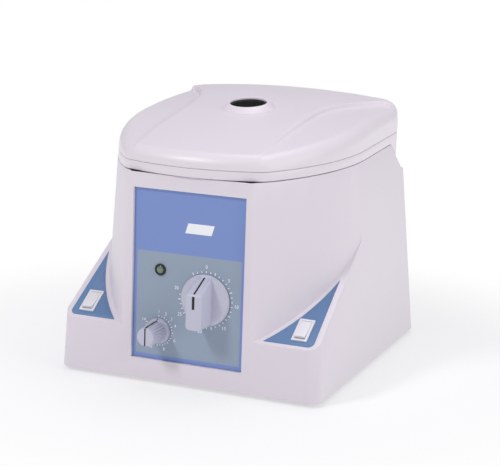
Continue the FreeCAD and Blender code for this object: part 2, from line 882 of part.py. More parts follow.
def dome(tilt, inset):
    """The ball whose top is the lid's crown, tipped back about the front edge by an angle."""
    centre = Vector(0, n.lid_crown_back, n.lid_top - n.lid_crown_radius)
    pivot = Vector(0, -n.scoop_hinge_back, 220)
    turn = Rotation(X_AXIS, -tilt)
    centre = pivot + turn.multVec(centre - pivot)
    ball = Part.makeSphere(n.lid_crown_radius - inset)
    ball.rotate(Vector(), Y_AXIS, 90)
    ball.translate(centre)
    return ball


def domed_block(tilt, inset):
    """The lid's outer form as a solid, with its top edge rounded over."""
    low = n.notch_height - 8
    block = Part.makeLoft([lid_section(low, inset), lid_section(n.lid_top + 20, inset)], True, True)
    block = block.common(dome(tilt, inset))
    rim = [edge for edge in block.Edges if min(v.Point.z for v in edge.Vertexes) > n.gap_front_height + 8
           and abs(edge.Vertexes[0].Point.z - edge.Vertexes[-1].Point.z) < 30]
    return block.makeFillet(n.lid_edge_radius - inset, rim)


def crease_prism():
    """The region of the lid's top between its two side creases."""
    start = n.crease_turn
    cx = n.crease_middle + n.crease_radius
    swing = math.acos((cx - n.base_half_width - 10) / n.crease_radius)

    def on_arc(angle):
        return Vector(cx - n.crease_radius * math.cos(angle), start + n.crease_radius * math.sin(angle), 0)
    front = Vector(n.crease_front, -BIG, 0)
    turn = on_arc(0)
    middle = on_arc(swing / 2)
    end = on_arc(swing)

    def flip(point):
        return Vector(-point.x, point.y, point.z)
    knee = Vector(n.crease_front, -n.lid_front, 0)
    back = Vector(end.x, BIG, 0)
    edges = [
        Part.makeLine(flip(front), front),
        Part.makeLine(front, knee),
        Part.makeLine(knee, turn),
        Part.Arc(turn, middle, end).toShape(),
        Part.makeLine(end, back),
        Part.makeLine(back, flip(back)),
        Part.makeLine(flip(back), flip(end)),
        Part.Arc(flip(end), flip(middle), flip(turn)).toShape(),
        Part.makeLine(flip(turn), flip(knee)),
        Part.makeLine(flip(knee), flip(front)),
    ]
    return Part.Face(Part.Wire(edges)).extrude(Vector(0, 0, BIG))


def lid_form():
    """The lid's outside: raised middle deck between two lower side scoops."""
    middle = crease_prism()
    deck = domed_block(0.0, 0.0).common(middle)
    scoops = domed_block(n.scoop_tilt, 0.0).cut(middle)
    return deck.fuse(scoops).removeSplitter()


def above_joint(lift):
    """Everything above the joint between housing and lid, lifted by a distance."""
    fall = (slope_start_height.value - n.notch_height) / (n.notch_back - n.slope_start)
    start = n.slope_start + lift * 0.35
    return prism([(-BIG, gap_height(-BIG, lift)), (start, gap_height(start, lift)),
                  (start + BIG, gap_height(start, lift) - fall * BIG), (start + BIG, BIG), (-BIG, BIG)])


def above_parting():
    """Everything above the line between the lid's cover and its rim."""
    return prism([(-BIG, gap_height(-BIG, n.rim_height)), (BIG, gap_height(BIG, n.rim_height)), (BIG, BIG), (-BIG, BIG)])


def window_round(radius, low, high):
    """A cylinder square to the lid's top at the window."""
    made = Part.makeCylinder(radius, high - low, Vector(0, 0, low))
    made.rotate(Vector(), X_AXIS, window_tilt.value)
    made.translate(Vector(0, n.rotor_back, deck_height_at_window.value))
    return made


def lid_cover_shape(form, hollow):
    """The lid's upper shell."""
    shell = form.cut(hollow).common(above_parting())
    shell = shell.cut(window_round(n.window_ring_top + 2.4 + n.fit_gap, -20, 20))
    for x, y in lid_boss_places():
        boss = Part.makeCylinder(n.boss_radius - 1, 60, Vector(x, y, 190)).common(form).common(above_parting())
        shell = shell.fuse(boss)
        shell = shell.cut(lid_screw_hole(x, y, n.screw_radius))
    return shell.removeSplitter()


def lid_screw_hole(x, y, radius):
    """A hole square to the joint, for a screw from the liner up into the cover."""
    made = Part.makeCylinder(radius, 25, Vector(0, 0, -10))
    made.rotate(Vector(), X_AXIS, n.gap_slope)
    made.translate(Vector(x, y, gap_height(y, n.rim_height - n.liner_thickness)))
    return made


def lid_boss_places():
    """Places of the four screws that join the lid's two shells."""
    return [(side * 0.62 * n.base_half_width, y) for side in (-1, 1) for y in (-0.45 * n.lid_front, 0.45 * n.lid_front)]


def lid_liner_shape(form, hollow):
    """The lid's lower shell: rim band, web plate and the ring that meets the gasket."""
    below = form.cut(above_parting()).common(above_joint(n.lid_gap))
    band = below.cut(hollow)
    web_top = above_parting()
    web_low = prism([(-BIG, gap_height(-BIG, n.rim_height - n.liner_thickness)),
                     (BIG, gap_height(BIG, n.rim_height - n.liner_thickness)), (BIG, BIG), (-BIG, BIG)])
    web = form.common(web_low).cut(web_top)
    top = gap_height(n.rotor_back + n.gasket_outer_radius, n.rim_height) - 0.5
    outer = Part.makeCylinder(n.gasket_outer_radius, top - liner_low.value, Vector(0, n.rotor_back, liner_low.value))
    inner = Part.makeCylinder(n.gasket_outer_radius - 6, BIG, Vector(0, n.rotor_back, -10))
    ring = outer.cut(inner).cut(web_top)
    shell = band.fuse(web).fuse(ring)
    shell = shell.cut(Part.makeCylinder(n.window_ring_top + 2.4 + n.fit_gap, BIG, Vector(0, n.rotor_back, 0)))
    for x, y in lid_boss_places():
        shell = shell.cut(lid_screw_hole(x, y, n.screw_radius + 0.2))
    return shell.removeSplitter()


feature("housing_shell", housing_shape())
form = lid_form()
hollow = domed_block(n.scoop_tilt, n.lid_wall)
feature("lid_cover", lid_cover_shape(form, hollow))
feature("lid_liner", lid_liner_shape(form, hollow))
for name, side in (("left", -1), ("right", 1)):
    feature(f"facet_label_{name}", label_shape(side))

# Base, feet and the screws that hold the base plate
plate_half_width = s.base_half_width - side_slope * plate_top - s.wall - s.fit_gap
plate_front = s.base_half_depth - s.front_wall - s.fit_gap
plate_back = s.base_half_depth - rear_slope * plate_top - s.wall - s.fit_gap
plate_corner = s.base_corner_radius - s.wall
foot_x = s.base_half_width - s.foot_inset
foot_y = s.base_half_depth - s.foot_inset
foot_peg = s.screw_radius + 1
CORNERS = [(-1, -1), (1, -1), (-1, 1), (1, 1)]

base_plate = new_body("base_plate")
outline = []
for sx, sy in ((1, -1), (1, 1), (-1, 1), (-1, -1)):
    side = plate_half_width * sx
    end = plate_back if sy > 0 else -plate_front
    nearer = [(side, end - plate_corner * sy), (side - plate_corner * sx, end)]
    outline += nearer if sx * sy > 0 else nearer[::-1]
pad(base_plate, polygon(base_plate, "XY_Plane", outline), s.base_plate_thickness)
holes = [(x, y, s.screw_radius + 0.2) for x, y in boss_places()]
holes += [(foot_x * sx, foot_y * sy, foot_peg) for sx, sy in CORNERS]
cut_through(base_plate, circles(base_plate, "XY_Plane", holes))
place(base_plate, z=s.base_plate_inset)

foot_rise = s.foot_height + s.base_plate_inset
for name, (sx, sy) in zip(("front_left", "front_right", "rear_left", "rear_right"), CORNERS):
    foot = new_body(f"foot_{name}")
    revolve(foot, [(0, 0), (s.foot_radius - 1, 0), (s.foot_radius, 1), (s.foot_radius - 0.8, foot_rise),
                   (foot_peg, foot_rise), (foot_peg, foot_rise + s.base_plate_thickness), (0, foot_rise + s.base_plate_thickness)])
    place(foot, foot_x * sx, foot_y * sy, -s.foot_height)

screws("base_screws", [(x, y, s.base_plate_inset) for x, y in boss_places()],
       s.screw_head_radius, s.screw_head_height, s.screw_radius, s.boss_height - 8)

# Motor on its plate and rubber isolators
spin_y = s.rotor_back
isolator_turns = (90, 210, 330)
for index, angle in enumerate(isolator_turns):
    isolator = new_body(f"isolator_{index + 1}")
    waist = s.isolator_radius * 0.72
    revolve(isolator, [(0, 0), (s.isolator_radius, 0), (s.isolator_radius, 2), (waist, s.isolator_height / 2),
                       (s.isolator_radius, s.isolator_height - 2), (s.isolator_radius, s.isolator_height), (0, s.isolator_height)])
    place(isolator, s.isolator_circle * round(math.cos(math.radians(angle)), 6),
          spin_y + s.isolator_circle * round(math.sin(math.radians(angle)), 6), plate_top)

motor_plate = new_body("motor_plate")
half = s.motor_plate_width / 2
trim = half / 3
plate_points = [(half, trim - half), (half, half - trim), (half - trim, half), (trim - half, half),
                (-half, half - trim), (-half, trim - half), (trim - half, -half), (half - trim, -half)]
pad(motor_plate, polygon(motor_plate, "XY_Plane", plate_points), s.motor_plate_thickness)
cut_through(motor_plate, circles(motor_plate, "XY_Plane", [(0, 0, s.shaft_radius + 3)]))
place(motor_plate, 0, spin_y, motor_plate_low)

motor = new_body("motor_housing")
collar = s.bearing_radius + 4
revolve(motor, [
    (s.bearing_radius, 0), (s.motor_radius, 0), (s.motor_radius, s.motor_height), (s.bearing_radius, s.motor_height),
    (s.bearing_radius, s.motor_height - s.bearing_height), (collar, s.motor_height - s.bearing_height),
    (collar, s.motor_height - s.motor_wall), (s.motor_radius - s.motor_wall, s.motor_height - s.motor_wall),
    (s.motor_radius - s.motor_wall, s.motor_wall), (collar, s.motor_wall), (collar, s.bearing_height),
    (s.bearing_radius, s.bearing_height)])
place(motor, 0, spin_y, motor_low)

for name, low in (("lower", motor_low), ("upper", motor_top - s.bearing_height)):
    bearing = new_body(f"motor_bearing_{name}")
    revolve(bearing, [(s.shaft_radius + s.running_fit, 0), (s.bearing_radius, 0), (s.bearing_radius, s.bearing_height),
                      (s.shaft_radius + s.running_fit, s.bearing_height)])
    place(bearing, 0, spin_y, low)

armature_low = motor_low + (s.motor_height - s.armature_height) / 2
stator = new_body("motor_stator")
revolve(stator, [(s.armature_radius + 1, 0), (s.motor_radius - s.motor_wall, 0),
                 (s.motor_radius - s.motor_wall, s.armature_height), (s.armature_radius + 1, s.armature_height)])
place(stator, 0, spin_y, armature_low)

armature = new_body("motor_armature")
revolve(armature, [(s.shaft_radius, 0), (s.armature_radius, 0), (s.armature_radius, s.armature_height),
                   (s.shaft_radius, s.armature_height)])
place(armature, 0, spin_y, armature_low)

hub_top = rotor_low + s.hub_height
shaft_end = s.nut_height - 4
drive_shaft = new_body("drive_shaft")
shaft_length = hub_top + shaft_end - motor_low - 1
revolve(drive_shaft, [(0, 0), (s.shaft_radius, 0), (s.shaft_radius, shaft_length), (0, shaft_length)])
place(drive_shaft, 0, spin_y, motor_low + 1)

# Bowl, its screws, the gasket, the rotor and its nut
bowl = new_body("chamber_bowl")
outer = s.bowl_radius + s.bowl_wall
revolve(bowl, [
    (s.bowl_hole_radius, 0), (s.bowl_radius - s.bowl_corner, 0), (s.bowl_radius, s.bowl_corner),
    (s.bowl_radius, s.bowl_depth), (s.bowl_flange_radius, s.bowl_depth),
    (s.bowl_flange_radius, s.bowl_depth - s.bowl_wall), (outer, s.bowl_depth - s.bowl_wall),
    (outer, s.bowl_corner - s.bowl_wall / 2), (s.bowl_radius - s.bowl_corner + s.bowl_wall / 2, -s.bowl_wall),
    (s.bowl_hole_radius, -s.bowl_wall)])
ring_screw = s.bowl_screw_radius
turns = [math.radians(60 * k) for k in range(6)]
ring_places = [(s.bowl_screw_circle * round(math.cos(a), 6), s.bowl_screw_circle * round(math.sin(a), 6)) for a in turns]
cut_through(bowl, circles(bowl, "XY_Plane", [(x, y, ring_screw + 0.2) for x, y in ring_places]))
place(bowl, 0, spin_y, bowl_floor)
screws("bowl_screws", [(x, y + spin_y, gasket_low) for x, y in ring_places],
       s.bowl_screw_head, s.screw_head_height, ring_screw, s.deck_thickness + s.bowl_wall, down=True)

gasket = new_body("chamber_gasket")
revolve(gasket, [(s.gasket_inner_radius, 0), (s.gasket_outer_radius, 0), (s.gasket_outer_radius, s.gasket_height - 1),
                 (s.gasket_outer_radius - 1, s.gasket_height), (s.gasket_inner_radius + 1, s.gasket_height),
                 (s.gasket_inner_radius, s.gasket_height - 1)])
place(gasket, 0, spin_y, gasket_low)

rotor = new_body("rotor")
rotor_top = s.hub_height + 12
revolve(rotor, [
    (s.shaft_radius, 0), (20, 0), (24, 4), (s.rotor_radius - 10, 4), (s.rotor_radius, 14), (s.rotor_radius, 26),
    (52, rotor_top), (46, rotor_top), (30, 32), (s.hub_radius, 32), (s.hub_radius, s.hub_height),
    (s.shaft_radius, s.hub_height)])
doc.recompute()
mouth_rise = s.hub_height + 4


def tube_corner(depth, out):
    """A corner of the tube hole's half profile: depth along the hole, distance from its axis."""
    lean_sin, lean_cos = sin(s.tube_angle), cos(s.tube_angle)
    return (s.tube_hole_circle + depth * lean_sin + out * lean_cos,
            mouth_rise - depth * lean_cos + out * lean_sin)


tip = s.tube_hole_depth - s.tube_hole_radius
none, above = as_size(0), as_size(-16)
half_profile = [tube_corner(above, none), tube_corner(s.tube_hole_depth, none),
                tube_corner(s.tube_hole_depth, s.tube_hole_radius * 0.35), tube_corner(tip, s.tube_hole_radius),
                tube_corner(above, s.tube_hole_radius)]
hole_sketch = polygon(rotor, "XZ_Plane", half_profile, "TubeHoleProfile")
tube_hole = rotor.newObject("PartDesign::Groove", "TubeHole")
tube_hole.Profile = hole_sketch
tube_hole.ReferenceAxis = (hole_sketch, ["Edge1"])
tube_hole.Angle = 360
doc.recompute()
around(rotor, tube_hole, s.tube_count, "TubeHoles")
place(rotor, 0, spin_y, rotor_low)

rotor_nut = new_body("rotor_nut")
revolve(rotor_nut, [(0, shaft_end), (s.shaft_radius, shaft_end), (s.shaft_radius, 0), (s.nut_radius, 0),
                    (s.nut_radius, s.nut_height - 3), (s.nut_radius - 2, s.nut_height), (0, s.nut_height)])
place(rotor_nut, 0, spin_y, hub_top)

# Control panel and what it carries
panel_height = s.panel_high - s.panel_low


def panel_spot(x, height):
    """A place on the panel, in the panel's own coordinates."""
    return x, (height - panel_middle) / cos(s.front_lean)


panel = new_body("control_panel")
half_width = s.panel_half_width - s.panel_gap
half_height = panel_height / 2 - s.panel_gap
pad(panel, polygon(panel, "XY_Plane", rectangle(-half_width, -half_height, half_width, half_height)), s.panel_thickness)
cut_through(panel, circles(panel, "XY_Plane", [
    (*panel_spot(s.timer_x, s.timer_z), s.timer_bush_radius + s.fit_gap),
    (*panel_spot(s.speed_x, s.speed_z), s.speed_bush_radius + s.fit_gap),
    (*panel_spot(s.lamp_x, s.lamp_z), s.lamp_barrel_radius + s.panel_gap)]))
place(panel, **on_front(0, panel_middle, -panel_floor))

lamp_ring = new_body("indicator_bezel")
revolve(lamp_ring, [(s.lamp_lens_radius, -10), (s.lamp_barrel_radius, -10), (s.lamp_barrel_radius, 0), (s.lamp_radius, 0),
                    (s.lamp_radius, s.lamp_height - 0.5), (s.lamp_radius - 0.5, s.lamp_height), (s.lamp_lens_radius, s.lamp_height)])
place(lamp_ring, **on_front(s.lamp_x, s.lamp_z, -s.panel_recess))
lamp_lens = new_body("indicator_lens")
revolve(lamp_lens, [(0, -10), (s.lamp_lens_radius, -10), (s.lamp_lens_radius, s.lamp_height - 0.4),
                    (s.lamp_lens_radius * 0.6, s.lamp_height + 0.3), (0, s.lamp_height + 0.6)])
place(lamp_lens, **on_front(s.lamp_x, s.lamp_z, -s.panel_recess))

bush_length = s.front_wall - panel_floor + s.panel_thickness + s.nut_thickness + 0.2
under_wall = s.front_wall
bore_depth = 14.0


def control(label, x, height, outline, depth, bush_radius, shaft_radius, nut_radius):
    """A control behind the front wall: body with a threaded bush, its nut and its shaft."""
    body = new_body(f"{label}_body")
    if outline == "square":
        side = s.timer_width / 2
        pad(body, polygon(body, "XY_Plane", rectangle(-side, -side, side, side)), depth, "Case", reverse=True)
    else:
        pad(body, circles(body, "XY_Plane", [(0, 0, s.speed_body_radius)], "CaseRound"), depth, "Case", reverse=True)
    pad(body, circles(body, "XY_Plane", [(0, 0, bush_radius)], "BushRound"), bush_length, "Bush")
    cut_through(body, circles(body, "XY_Plane", [(0, 0, shaft_radius + s.running_fit)], "BoreRound"))
    place(body, **on_front(x, height, -under_wall))
    nut = new_body(f"{label}_nut")
    pad(nut, polygon(nut, "XY_Plane", hexagon(nut_radius)), s.nut_thickness)
    cut_through(nut, circles(nut, "XY_Plane", [(0, 0, bush_radius)]))
    place(nut, **on_front(x, height, -s.panel_recess))
    shaft = cylinder(f"{label}_shaft", shaft_radius, under_wall + depth - 3 - s.panel_recess + s.knob_gap + bore_depth)
    place(keep(shaft), **on_front(x, height, 3 - depth - under_wall))


control("timer", s.timer_x, s.timer_z, "square", s.timer_depth, s.timer_bush_radius, s.timer_shaft_radius,
        s.timer_bush_radius * 1.5)
control("speed", s.speed_x, s.speed_z, "round", s.speed_body_depth, s.speed_bush_radius, s.speed_shaft_radius,
        s.speed_bush_radius * 1.45)

counterbore = s.nut_thickness + 0.9
time_knob = new_body("time_knob")
skirt = s.timer_skirt_radius
top = s.timer_knob_height
revolve(time_knob, [(0, 0), (skirt, 0), (skirt, 1.4), (skirt - 3.5, s.timer_skirt_height), (0, s.timer_skirt_height)], "Skirt")
side_view = [(-skirt, 2), (-skirt, top - 2.5), (2 - skirt, top), (skirt * 0.42, top), (skirt - 1.5, 2)]
symmetric_pad(time_knob, polygon(time_knob, "YZ_Plane", side_view, "GripProfile"), s.timer_grip_width, "Grip")
cut_through(time_knob, circles(time_knob, "XY_Plane", [(0, 0, skirt - 0.3), (0, 0, skirt * 2)], "RimRounds"), "Rim")
pocket(time_knob, circles(time_knob, "XY_Plane", [(0, 0, s.timer_bush_radius * 1.5 + 1)], "NutRoom"), counterbore, "NutSpace",
       reverse=True)
pocket(time_knob, circles(time_knob, "XY_Plane", [(0, 0, s.timer_shaft_radius)], "BoreRound"), bore_depth, "Bore", reverse=True)
place(time_knob, **on_front(s.timer_x, s.timer_z, s.knob_gap - s.panel_recess))

speed_knob = new_body("speed_knob")
skirt = s.speed_skirt_radius
top = s.speed_knob_height
revolve(speed_knob, [(0, 0), (skirt, 0), (skirt, 1.2), (s.speed_grip_low + 0.4, s.speed_skirt_height),
                     (s.speed_grip_low, s.speed_skirt_height), (s.speed_grip_top, top - 0.7),
                     (s.speed_grip_top - 0.7, top), (0, top)], "Turned")
flute = pocket(speed_knob, circles(speed_knob, "XY_Plane", [(s.speed_grip_low - 0.1, 0, 0.8)], "FluteRound",
                                   lift=s.speed_skirt_height), top, "Flute", reverse=True)
around(speed_knob, flute, s.flute_count, "Flutes")
pocket(speed_knob, circles(speed_knob, "XY_Plane", [(0, 0, s.speed_bush_radius * 1.45 + 0.8)], "NutRoom"), counterbore,
       "NutSpace", reverse=True)
pocket(speed_knob, circles(speed_knob, "XY_Plane", [(0, 0, s.speed_shaft_radius)], "BoreRound"), bore_depth, "Bore",
       reverse=True)
speed_knob.Tip = speed_knob.Group[-1]
place(speed_knob, **on_front(s.speed_x, s.speed_z, s.knob_gap - s.panel_recess))

# Rocker switches on the consoles
open_width = s.bezel_width - 2 * s.switch_border
open_length = s.bezel_length - 2 * s.switch_border
frame_width = s.bezel_width - s.switch_border - 2 * s.panel_gap
frame_length = s.bezel_length - s.switch_border - 2 * s.panel_gap
pivot_height = s.bezel_height - s.rocker_pin_depth
face_height = pivot_height + s.rocker_pin_depth
rocker_reach = (open_length / 2 - s.rocker_clearance - s.rocker_pin_depth * sin(s.rocker_throw)) * cos(s.rocker_throw)
end_rise = rocker_reach * tan(s.rocker_throw)
for name, side in (("left", -1), ("right", 1)):
    where = {"x": switch_x * side, "y": switch_y}
    bezel = new_body(f"rocker_bezel_{name}")
    pad(bezel, polygon(bezel, "XY_Plane", rectangle(-s.bezel_width / 2, -s.bezel_length / 2, s.bezel_width / 2,
                                                    s.bezel_length / 2), "Flange"), s.bezel_height, "FlangePad")
    pad(bezel, polygon(bezel, "XY_Plane", rectangle(-frame_width / 2, -frame_length / 2, frame_width / 2,
                                                    frame_length / 2), "Case"), s.switch_body_depth, "CasePad", reverse=True)
    opening = polygon(bezel, "XY_Plane", rectangle(-open_width / 2, -open_length / 2, open_width / 2, open_length / 2),
                      "Opening", lift=s.bezel_height)
    pocket(bezel, opening, s.bezel_height + s.switch_body_depth - 2, "OpeningPocket")
    hole = circles(bezel, "YZ_Plane", [(0, pivot_height, s.rocker_pin_radius + s.running_fit)], "PivotRound")
    pivot = pocket(bezel, hole, open_width + 1.6, "Pivot")
    pivot.Midplane = True
    place(bezel, **on_console(**where))
    rocker = new_body(f"rocker_{name}")
    profile = [(0, face_height), (-rocker_reach, face_height + end_rise), (-rocker_reach * 0.94, face_height - 3),
               (-4, face_height - 8), (4, face_height - 8), (rocker_reach * 0.94, face_height - 3),
               (rocker_reach, face_height)]
    symmetric_pad(rocker, polygon(rocker, "YZ_Plane", profile, "Side"), open_width - 2 * s.fit_gap, "SidePad")
    pin = circles(rocker, "YZ_Plane", [(0, pivot_height, s.rocker_pin_radius)], "PinRound")
    symmetric_pad(rocker, pin, open_width + 1.4, "Pins")
    place(rocker, **on_console(**where))

# Hinges behind the lid
knuckle = s.hinge_width / 3
wall_lean = tan(s.lid_rear_lean)
wall_back = s.notch_back + wall_lean * (s.hinge_height - s.notch_height) - s.hinge_back
shelf_fall = tan(s.shelf_slope)
shelf_under = s.notch_height - shelf_fall * (s.hinge_back - s.notch_back) - s.hinge_height


def lid_wall_point(rise, out=0):
    """A point above the hinge's axis on the lid's rear wall, or off it by a distance."""
    out = as_size(out)
    return wall_back + wall_lean * rise + out / cos(s.lid_rear_lean), as_size(rise)


def shelf_point(back, off=0):
    """A point behind the hinge's axis on the shelf, or above it by a distance."""
    return as_size(back), shelf_under - shelf_fall * back + as_size(off) / cos(s.shelf_slope)


for name, side in (("left", -1), ("right", 1)):
    where = {"x": s.hinge_spacing * side, "y": s.hinge_back, "z": s.hinge_height}
    barrel = s.hinge_barrel_radius
    leaf = new_body(f"hinge_leaf_{name}")
    plate = [lid_wall_point(3.5), lid_wall_point(21), lid_wall_point(21, s.hinge_leaf), lid_wall_point(3.5, s.hinge_leaf)]
    symmetric_pad(leaf, polygon(leaf, "YZ_Plane", plate, "Plate"), s.hinge_width, "PlatePad")
    tang = [lid_wall_point(4), lid_wall_point(6, s.hinge_leaf), (0, barrel - 0.2), (0, 0.6 - barrel),
            lid_wall_point(4, 0.6)]
    symmetric_pad(leaf, polygon(leaf, "YZ_Plane", tang, "Tang"), knuckle - s.fit_gap, "TangPad")
    symmetric_pad(leaf, circles(leaf, "YZ_Plane", [(0, 0, barrel)], "BarrelRound"), knuckle - s.fit_gap, "Barrel")
    cut_through(leaf, circles(leaf, "YZ_Plane", [(0, 0, s.hinge_pin_radius + s.running_fit)], "PinRound"), "PinHole")
    place(leaf, **where)
    bracket = new_body(f"hinge_bracket_{name}")
    back = 7.0
    base = [shelf_point(-4.5), shelf_point(-4.5, s.hinge_leaf), shelf_point(back, s.hinge_leaf), shelf_point(back)]
    symmetric_pad(bracket, polygon(bracket, "YZ_Plane", base, "Base"), s.hinge_width, "BasePad")
    web = [shelf_point(-barrel + 0.2, 0.5), (-barrel + 0.05, 0), (barrel - 0.05, 0), shelf_point(barrel - 0.2, 0.5)]
    symmetric_pad(bracket, polygon(bracket, "YZ_Plane", web, "Web"), s.hinge_width, "WebPad")
    symmetric_pad(bracket, circles(bracket, "YZ_Plane", [(0, 0, barrel)], "BarrelRound"), s.hinge_width, "Barrel")
    gap = [shelf_point(-barrel - 6, s.hinge_leaf + 0.05), (-barrel - 6, 2 * barrel), (barrel + 6, 2 * barrel),
           shelf_point(barrel + 6, s.hinge_leaf + 0.05)]
    middle_gap = pocket(bracket, polygon(bracket, "YZ_Plane", gap, "Gap"), knuckle + s.fit_gap, "GapPocket")
    middle_gap.Midplane = True
    cut_through(bracket, circles(bracket, "YZ_Plane", [(0, 0, s.hinge_pin_radius)], "PinRound"), "PinHole")
    place(bracket, **where)
    pin = new_body(f"hinge_pin_{name}")
    symmetric_pad(pin, circles(pin, "YZ_Plane", [(0, 0, s.hinge_pin_radius)], "PinRound"), s.hinge_width + 1, "Pin")
    place(pin, **where)

# Window in the lid
tilt = window_tilt
barrel = s.window_ring_top + 2.4
ring = new_body("window_ring")
seat = s.window_ring_height - s.window_recess - s.window_thickness


def crown_drop(radius):
    """How far the lid's crown falls below its tangent plane at a distance."""
    return radius * radius / (2 * s.lid_crown_radius)


revolve(ring, [(s.window_radius, s.window_ring_height), (s.window_ring_top, s.window_ring_height),
               (s.window_ring_base, -crown_drop(s.window_ring_base)), (barrel, -crown_drop(barrel)), (barrel, -12),
               (s.window_radius - 1.2, -12), (s.window_radius - 1.2, seat), (s.window_radius, seat)])
place(ring, 0, s.rotor_back, deck_height_at_window, X_AXIS, tilt)
window = new_body("lid_window")
revolve(window, [(0, 0), (s.window_radius, 0), (s.window_radius, s.window_thickness), (0, s.window_thickness)])
place(window, 0, s.rotor_back - seat * sin(tilt), deck_height_at_window + seat * cos(tilt), X_AXIS, tilt)

lid_x = s.base_half_width * 0.62
lid_y = s.lid_front * 0.45
web_low = s.rim_height - s.liner_thickness


def joint_height(y, lift):
    """Height of the lid joint at a place, lifted by a distance."""
    return s.gap_front_height + gap_rise * (y - front_at_gap) + lift


screws("lid_screws", [(lid_x * sx, lid_y * sy, joint_height(lid_y * sy, web_low)) for sx, sy in CORNERS],
       s.screw_head_radius, s.screw_head_height, s.screw_radius, s.liner_thickness + 10, turn=s.gap_slope)

# Latch: striker under the lid, lock bolt and its solenoid under the deck
striker_top = joint_height(-s.latch_front, web_low)
bolt_height = s.deck_height - s.deck_thickness - s.solenoid_width / 2
eye_drop = striker_top - bolt_height
striker = new_body("lid_striker")
half = s.striker_width / 2
low = -eye_drop - s.striker_eye_radius - 3.5
blade = [(-half, 0), (-half, low + 3), (3 - half, low), (half - 3, low), (half, low + 3), (half, 0)]
symmetric_pad(striker, polygon(striker, "YZ_Plane", blade, "Blade"), s.striker_thickness, "BladePad")
pad(striker, polygon(striker, "XY_Plane", rectangle(-9, -half - 1, 9, half + 1), "Foot"), 2, "FootPad", reverse=True)
cut_through(striker, circles(striker, "YZ_Plane", [(0, -eye_drop, s.striker_eye_radius)], "EyeRound"), "Eye")
place(striker, 0, -s.latch_front, striker_top, X_AXIS, s.gap_slope)

bolt_y = -s.latch_front + eye_drop * sin(s.gap_slope)
bolt_start = s.striker_thickness / 2 + 2.5
solenoid_start = bolt_start + s.bolt_stroke + 2
bolt = new_body("lock_bolt")
pad(bolt, circles(bolt, "YZ_Plane", [(0, 0, s.bolt_radius)]), s.solenoid_length + s.bolt_stroke, "Bolt")
place(bolt, bolt_start, bolt_y, bolt_height)
solenoid = new_body("lock_solenoid")
half = s.solenoid_width / 2
pad(solenoid, polygon(solenoid, "YZ_Plane", rectangle(-half, -half, half, half)), s.solenoid_length, "Coil")
cut_through(solenoid, circles(solenoid, "YZ_Plane", [(0, 0, s.bolt_radius + s.running_fit)]))
place(solenoid, solenoid_start, bolt_y, bolt_height)

# Power inlet with its fuse drawer
inlet = new_body("power_inlet")
flange_x, flange_y = s.inlet_flange / 2, s.inlet_flange_height / 2
body_x, body_y = s.inlet_width / 2, s.inlet_height / 2
socket_x, socket_y = s.socket_width / 2, s.socket_height / 2
socket_mid = socket_x + 2.5 - body_x
fuse_x, fuse_y = s.fuse_width / 2, s.fuse_height / 2
fuse_mid = body_x - 2.5 - fuse_x
pad(inlet, polygon(inlet, "XY_Plane", rectangle(-flange_x, -flange_y, flange_x, flange_y), "Flange"),
    s.inlet_flange_thickness, "FlangePad")
pad(inlet, polygon(inlet, "XY_Plane", rectangle(-body_x, -body_y, body_x, body_y), "Case"), s.inlet_depth, "CasePad",
    reverse=True)
socket = [(socket_mid - socket_x, -socket_y), (socket_mid + socket_x, -socket_y), (socket_mid + socket_x, socket_y - 5),
          (socket_mid + socket_x - 5, socket_y), (socket_mid - socket_x + 5, socket_y), (socket_mid - socket_x, socket_y - 5)]
pocket(inlet, polygon(inlet, "XY_Plane", socket, "Socket", lift=s.inlet_flange_thickness), s.socket_depth, "SocketPocket")
drawer = rectangle(fuse_mid - fuse_x - s.fit_gap, -fuse_y - s.fit_gap, fuse_mid + fuse_x + s.fit_gap, fuse_y + s.fit_gap)
pocket(inlet, polygon(inlet, "XY_Plane", drawer, "Drawer", lift=s.inlet_flange_thickness), s.socket_depth + 2,
       "DrawerPocket")
place(inlet, **on_rear(s.inlet_x, s.inlet_z))

pin_low = s.inlet_flange_thickness - s.socket_depth
pins = []
for index, (dx, dy) in enumerate(((-7, -2), (0, 2.4), (7, -2))):
    pin = box(f"inlet_pin_{index}", 2, 4, s.socket_depth - 7)
    pin.setExpression("Placement.Base.x", (socket_mid + dx - 1).text)
    pin.setExpression("Placement.Base.y", f"{dy - 2}")
    pin.setExpression("Placement.Base.z", pin_low.text)
    pins.append(pin)
place(group("inlet_pins", pins), **on_rear(s.inlet_x, s.inlet_z))

fuse = new_body("fuse_drawer")
pad(fuse, polygon(fuse, "XY_Plane", rectangle(-fuse_x, -fuse_y, fuse_x, fuse_y), "Case"), s.socket_depth + 1.2, "CasePad",
    reverse=True)
pad(fuse, polygon(fuse, "XY_Plane", rectangle(-fuse_x - 0.8, -fuse_y - 0.8, fuse_x + 0.8, fuse_y + 0.8), "Face"), 1.6,
    "FacePad")
place(fuse, **on_rear(s.inlet_x + fuse_mid, s.inlet_z, s.inlet_flange_thickness))

# Circuit board on standoffs, and the transformer
board_half_x, board_half_y = s.board_width / 2, s.board_depth / 2
stand_x, stand_y = board_half_x - 5, board_half_y - 5
standoffs = []
for index, (sx, sy) in enumerate(CORNERS):
    post = cylinder(f"standoff_{index}", 3, s.standoff_height)
    for axis, size in (("x", stand_x * sx), ("y", stand_y * sy)):
        post.setExpression(f"Placement.Base.{axis}", size.text)
    standoffs.append(post)
place(group("board_standoffs", standoffs), -board_x, 0, plate_top)
board = new_body("circuit_board")
pad(board, polygon(board, "XY_Plane", rectangle(-board_half_x, -board_half_y, board_half_x, board_half_y)),
    s.board_thickness)
place(board, -board_x, 0, plate_top + s.standoff_height)

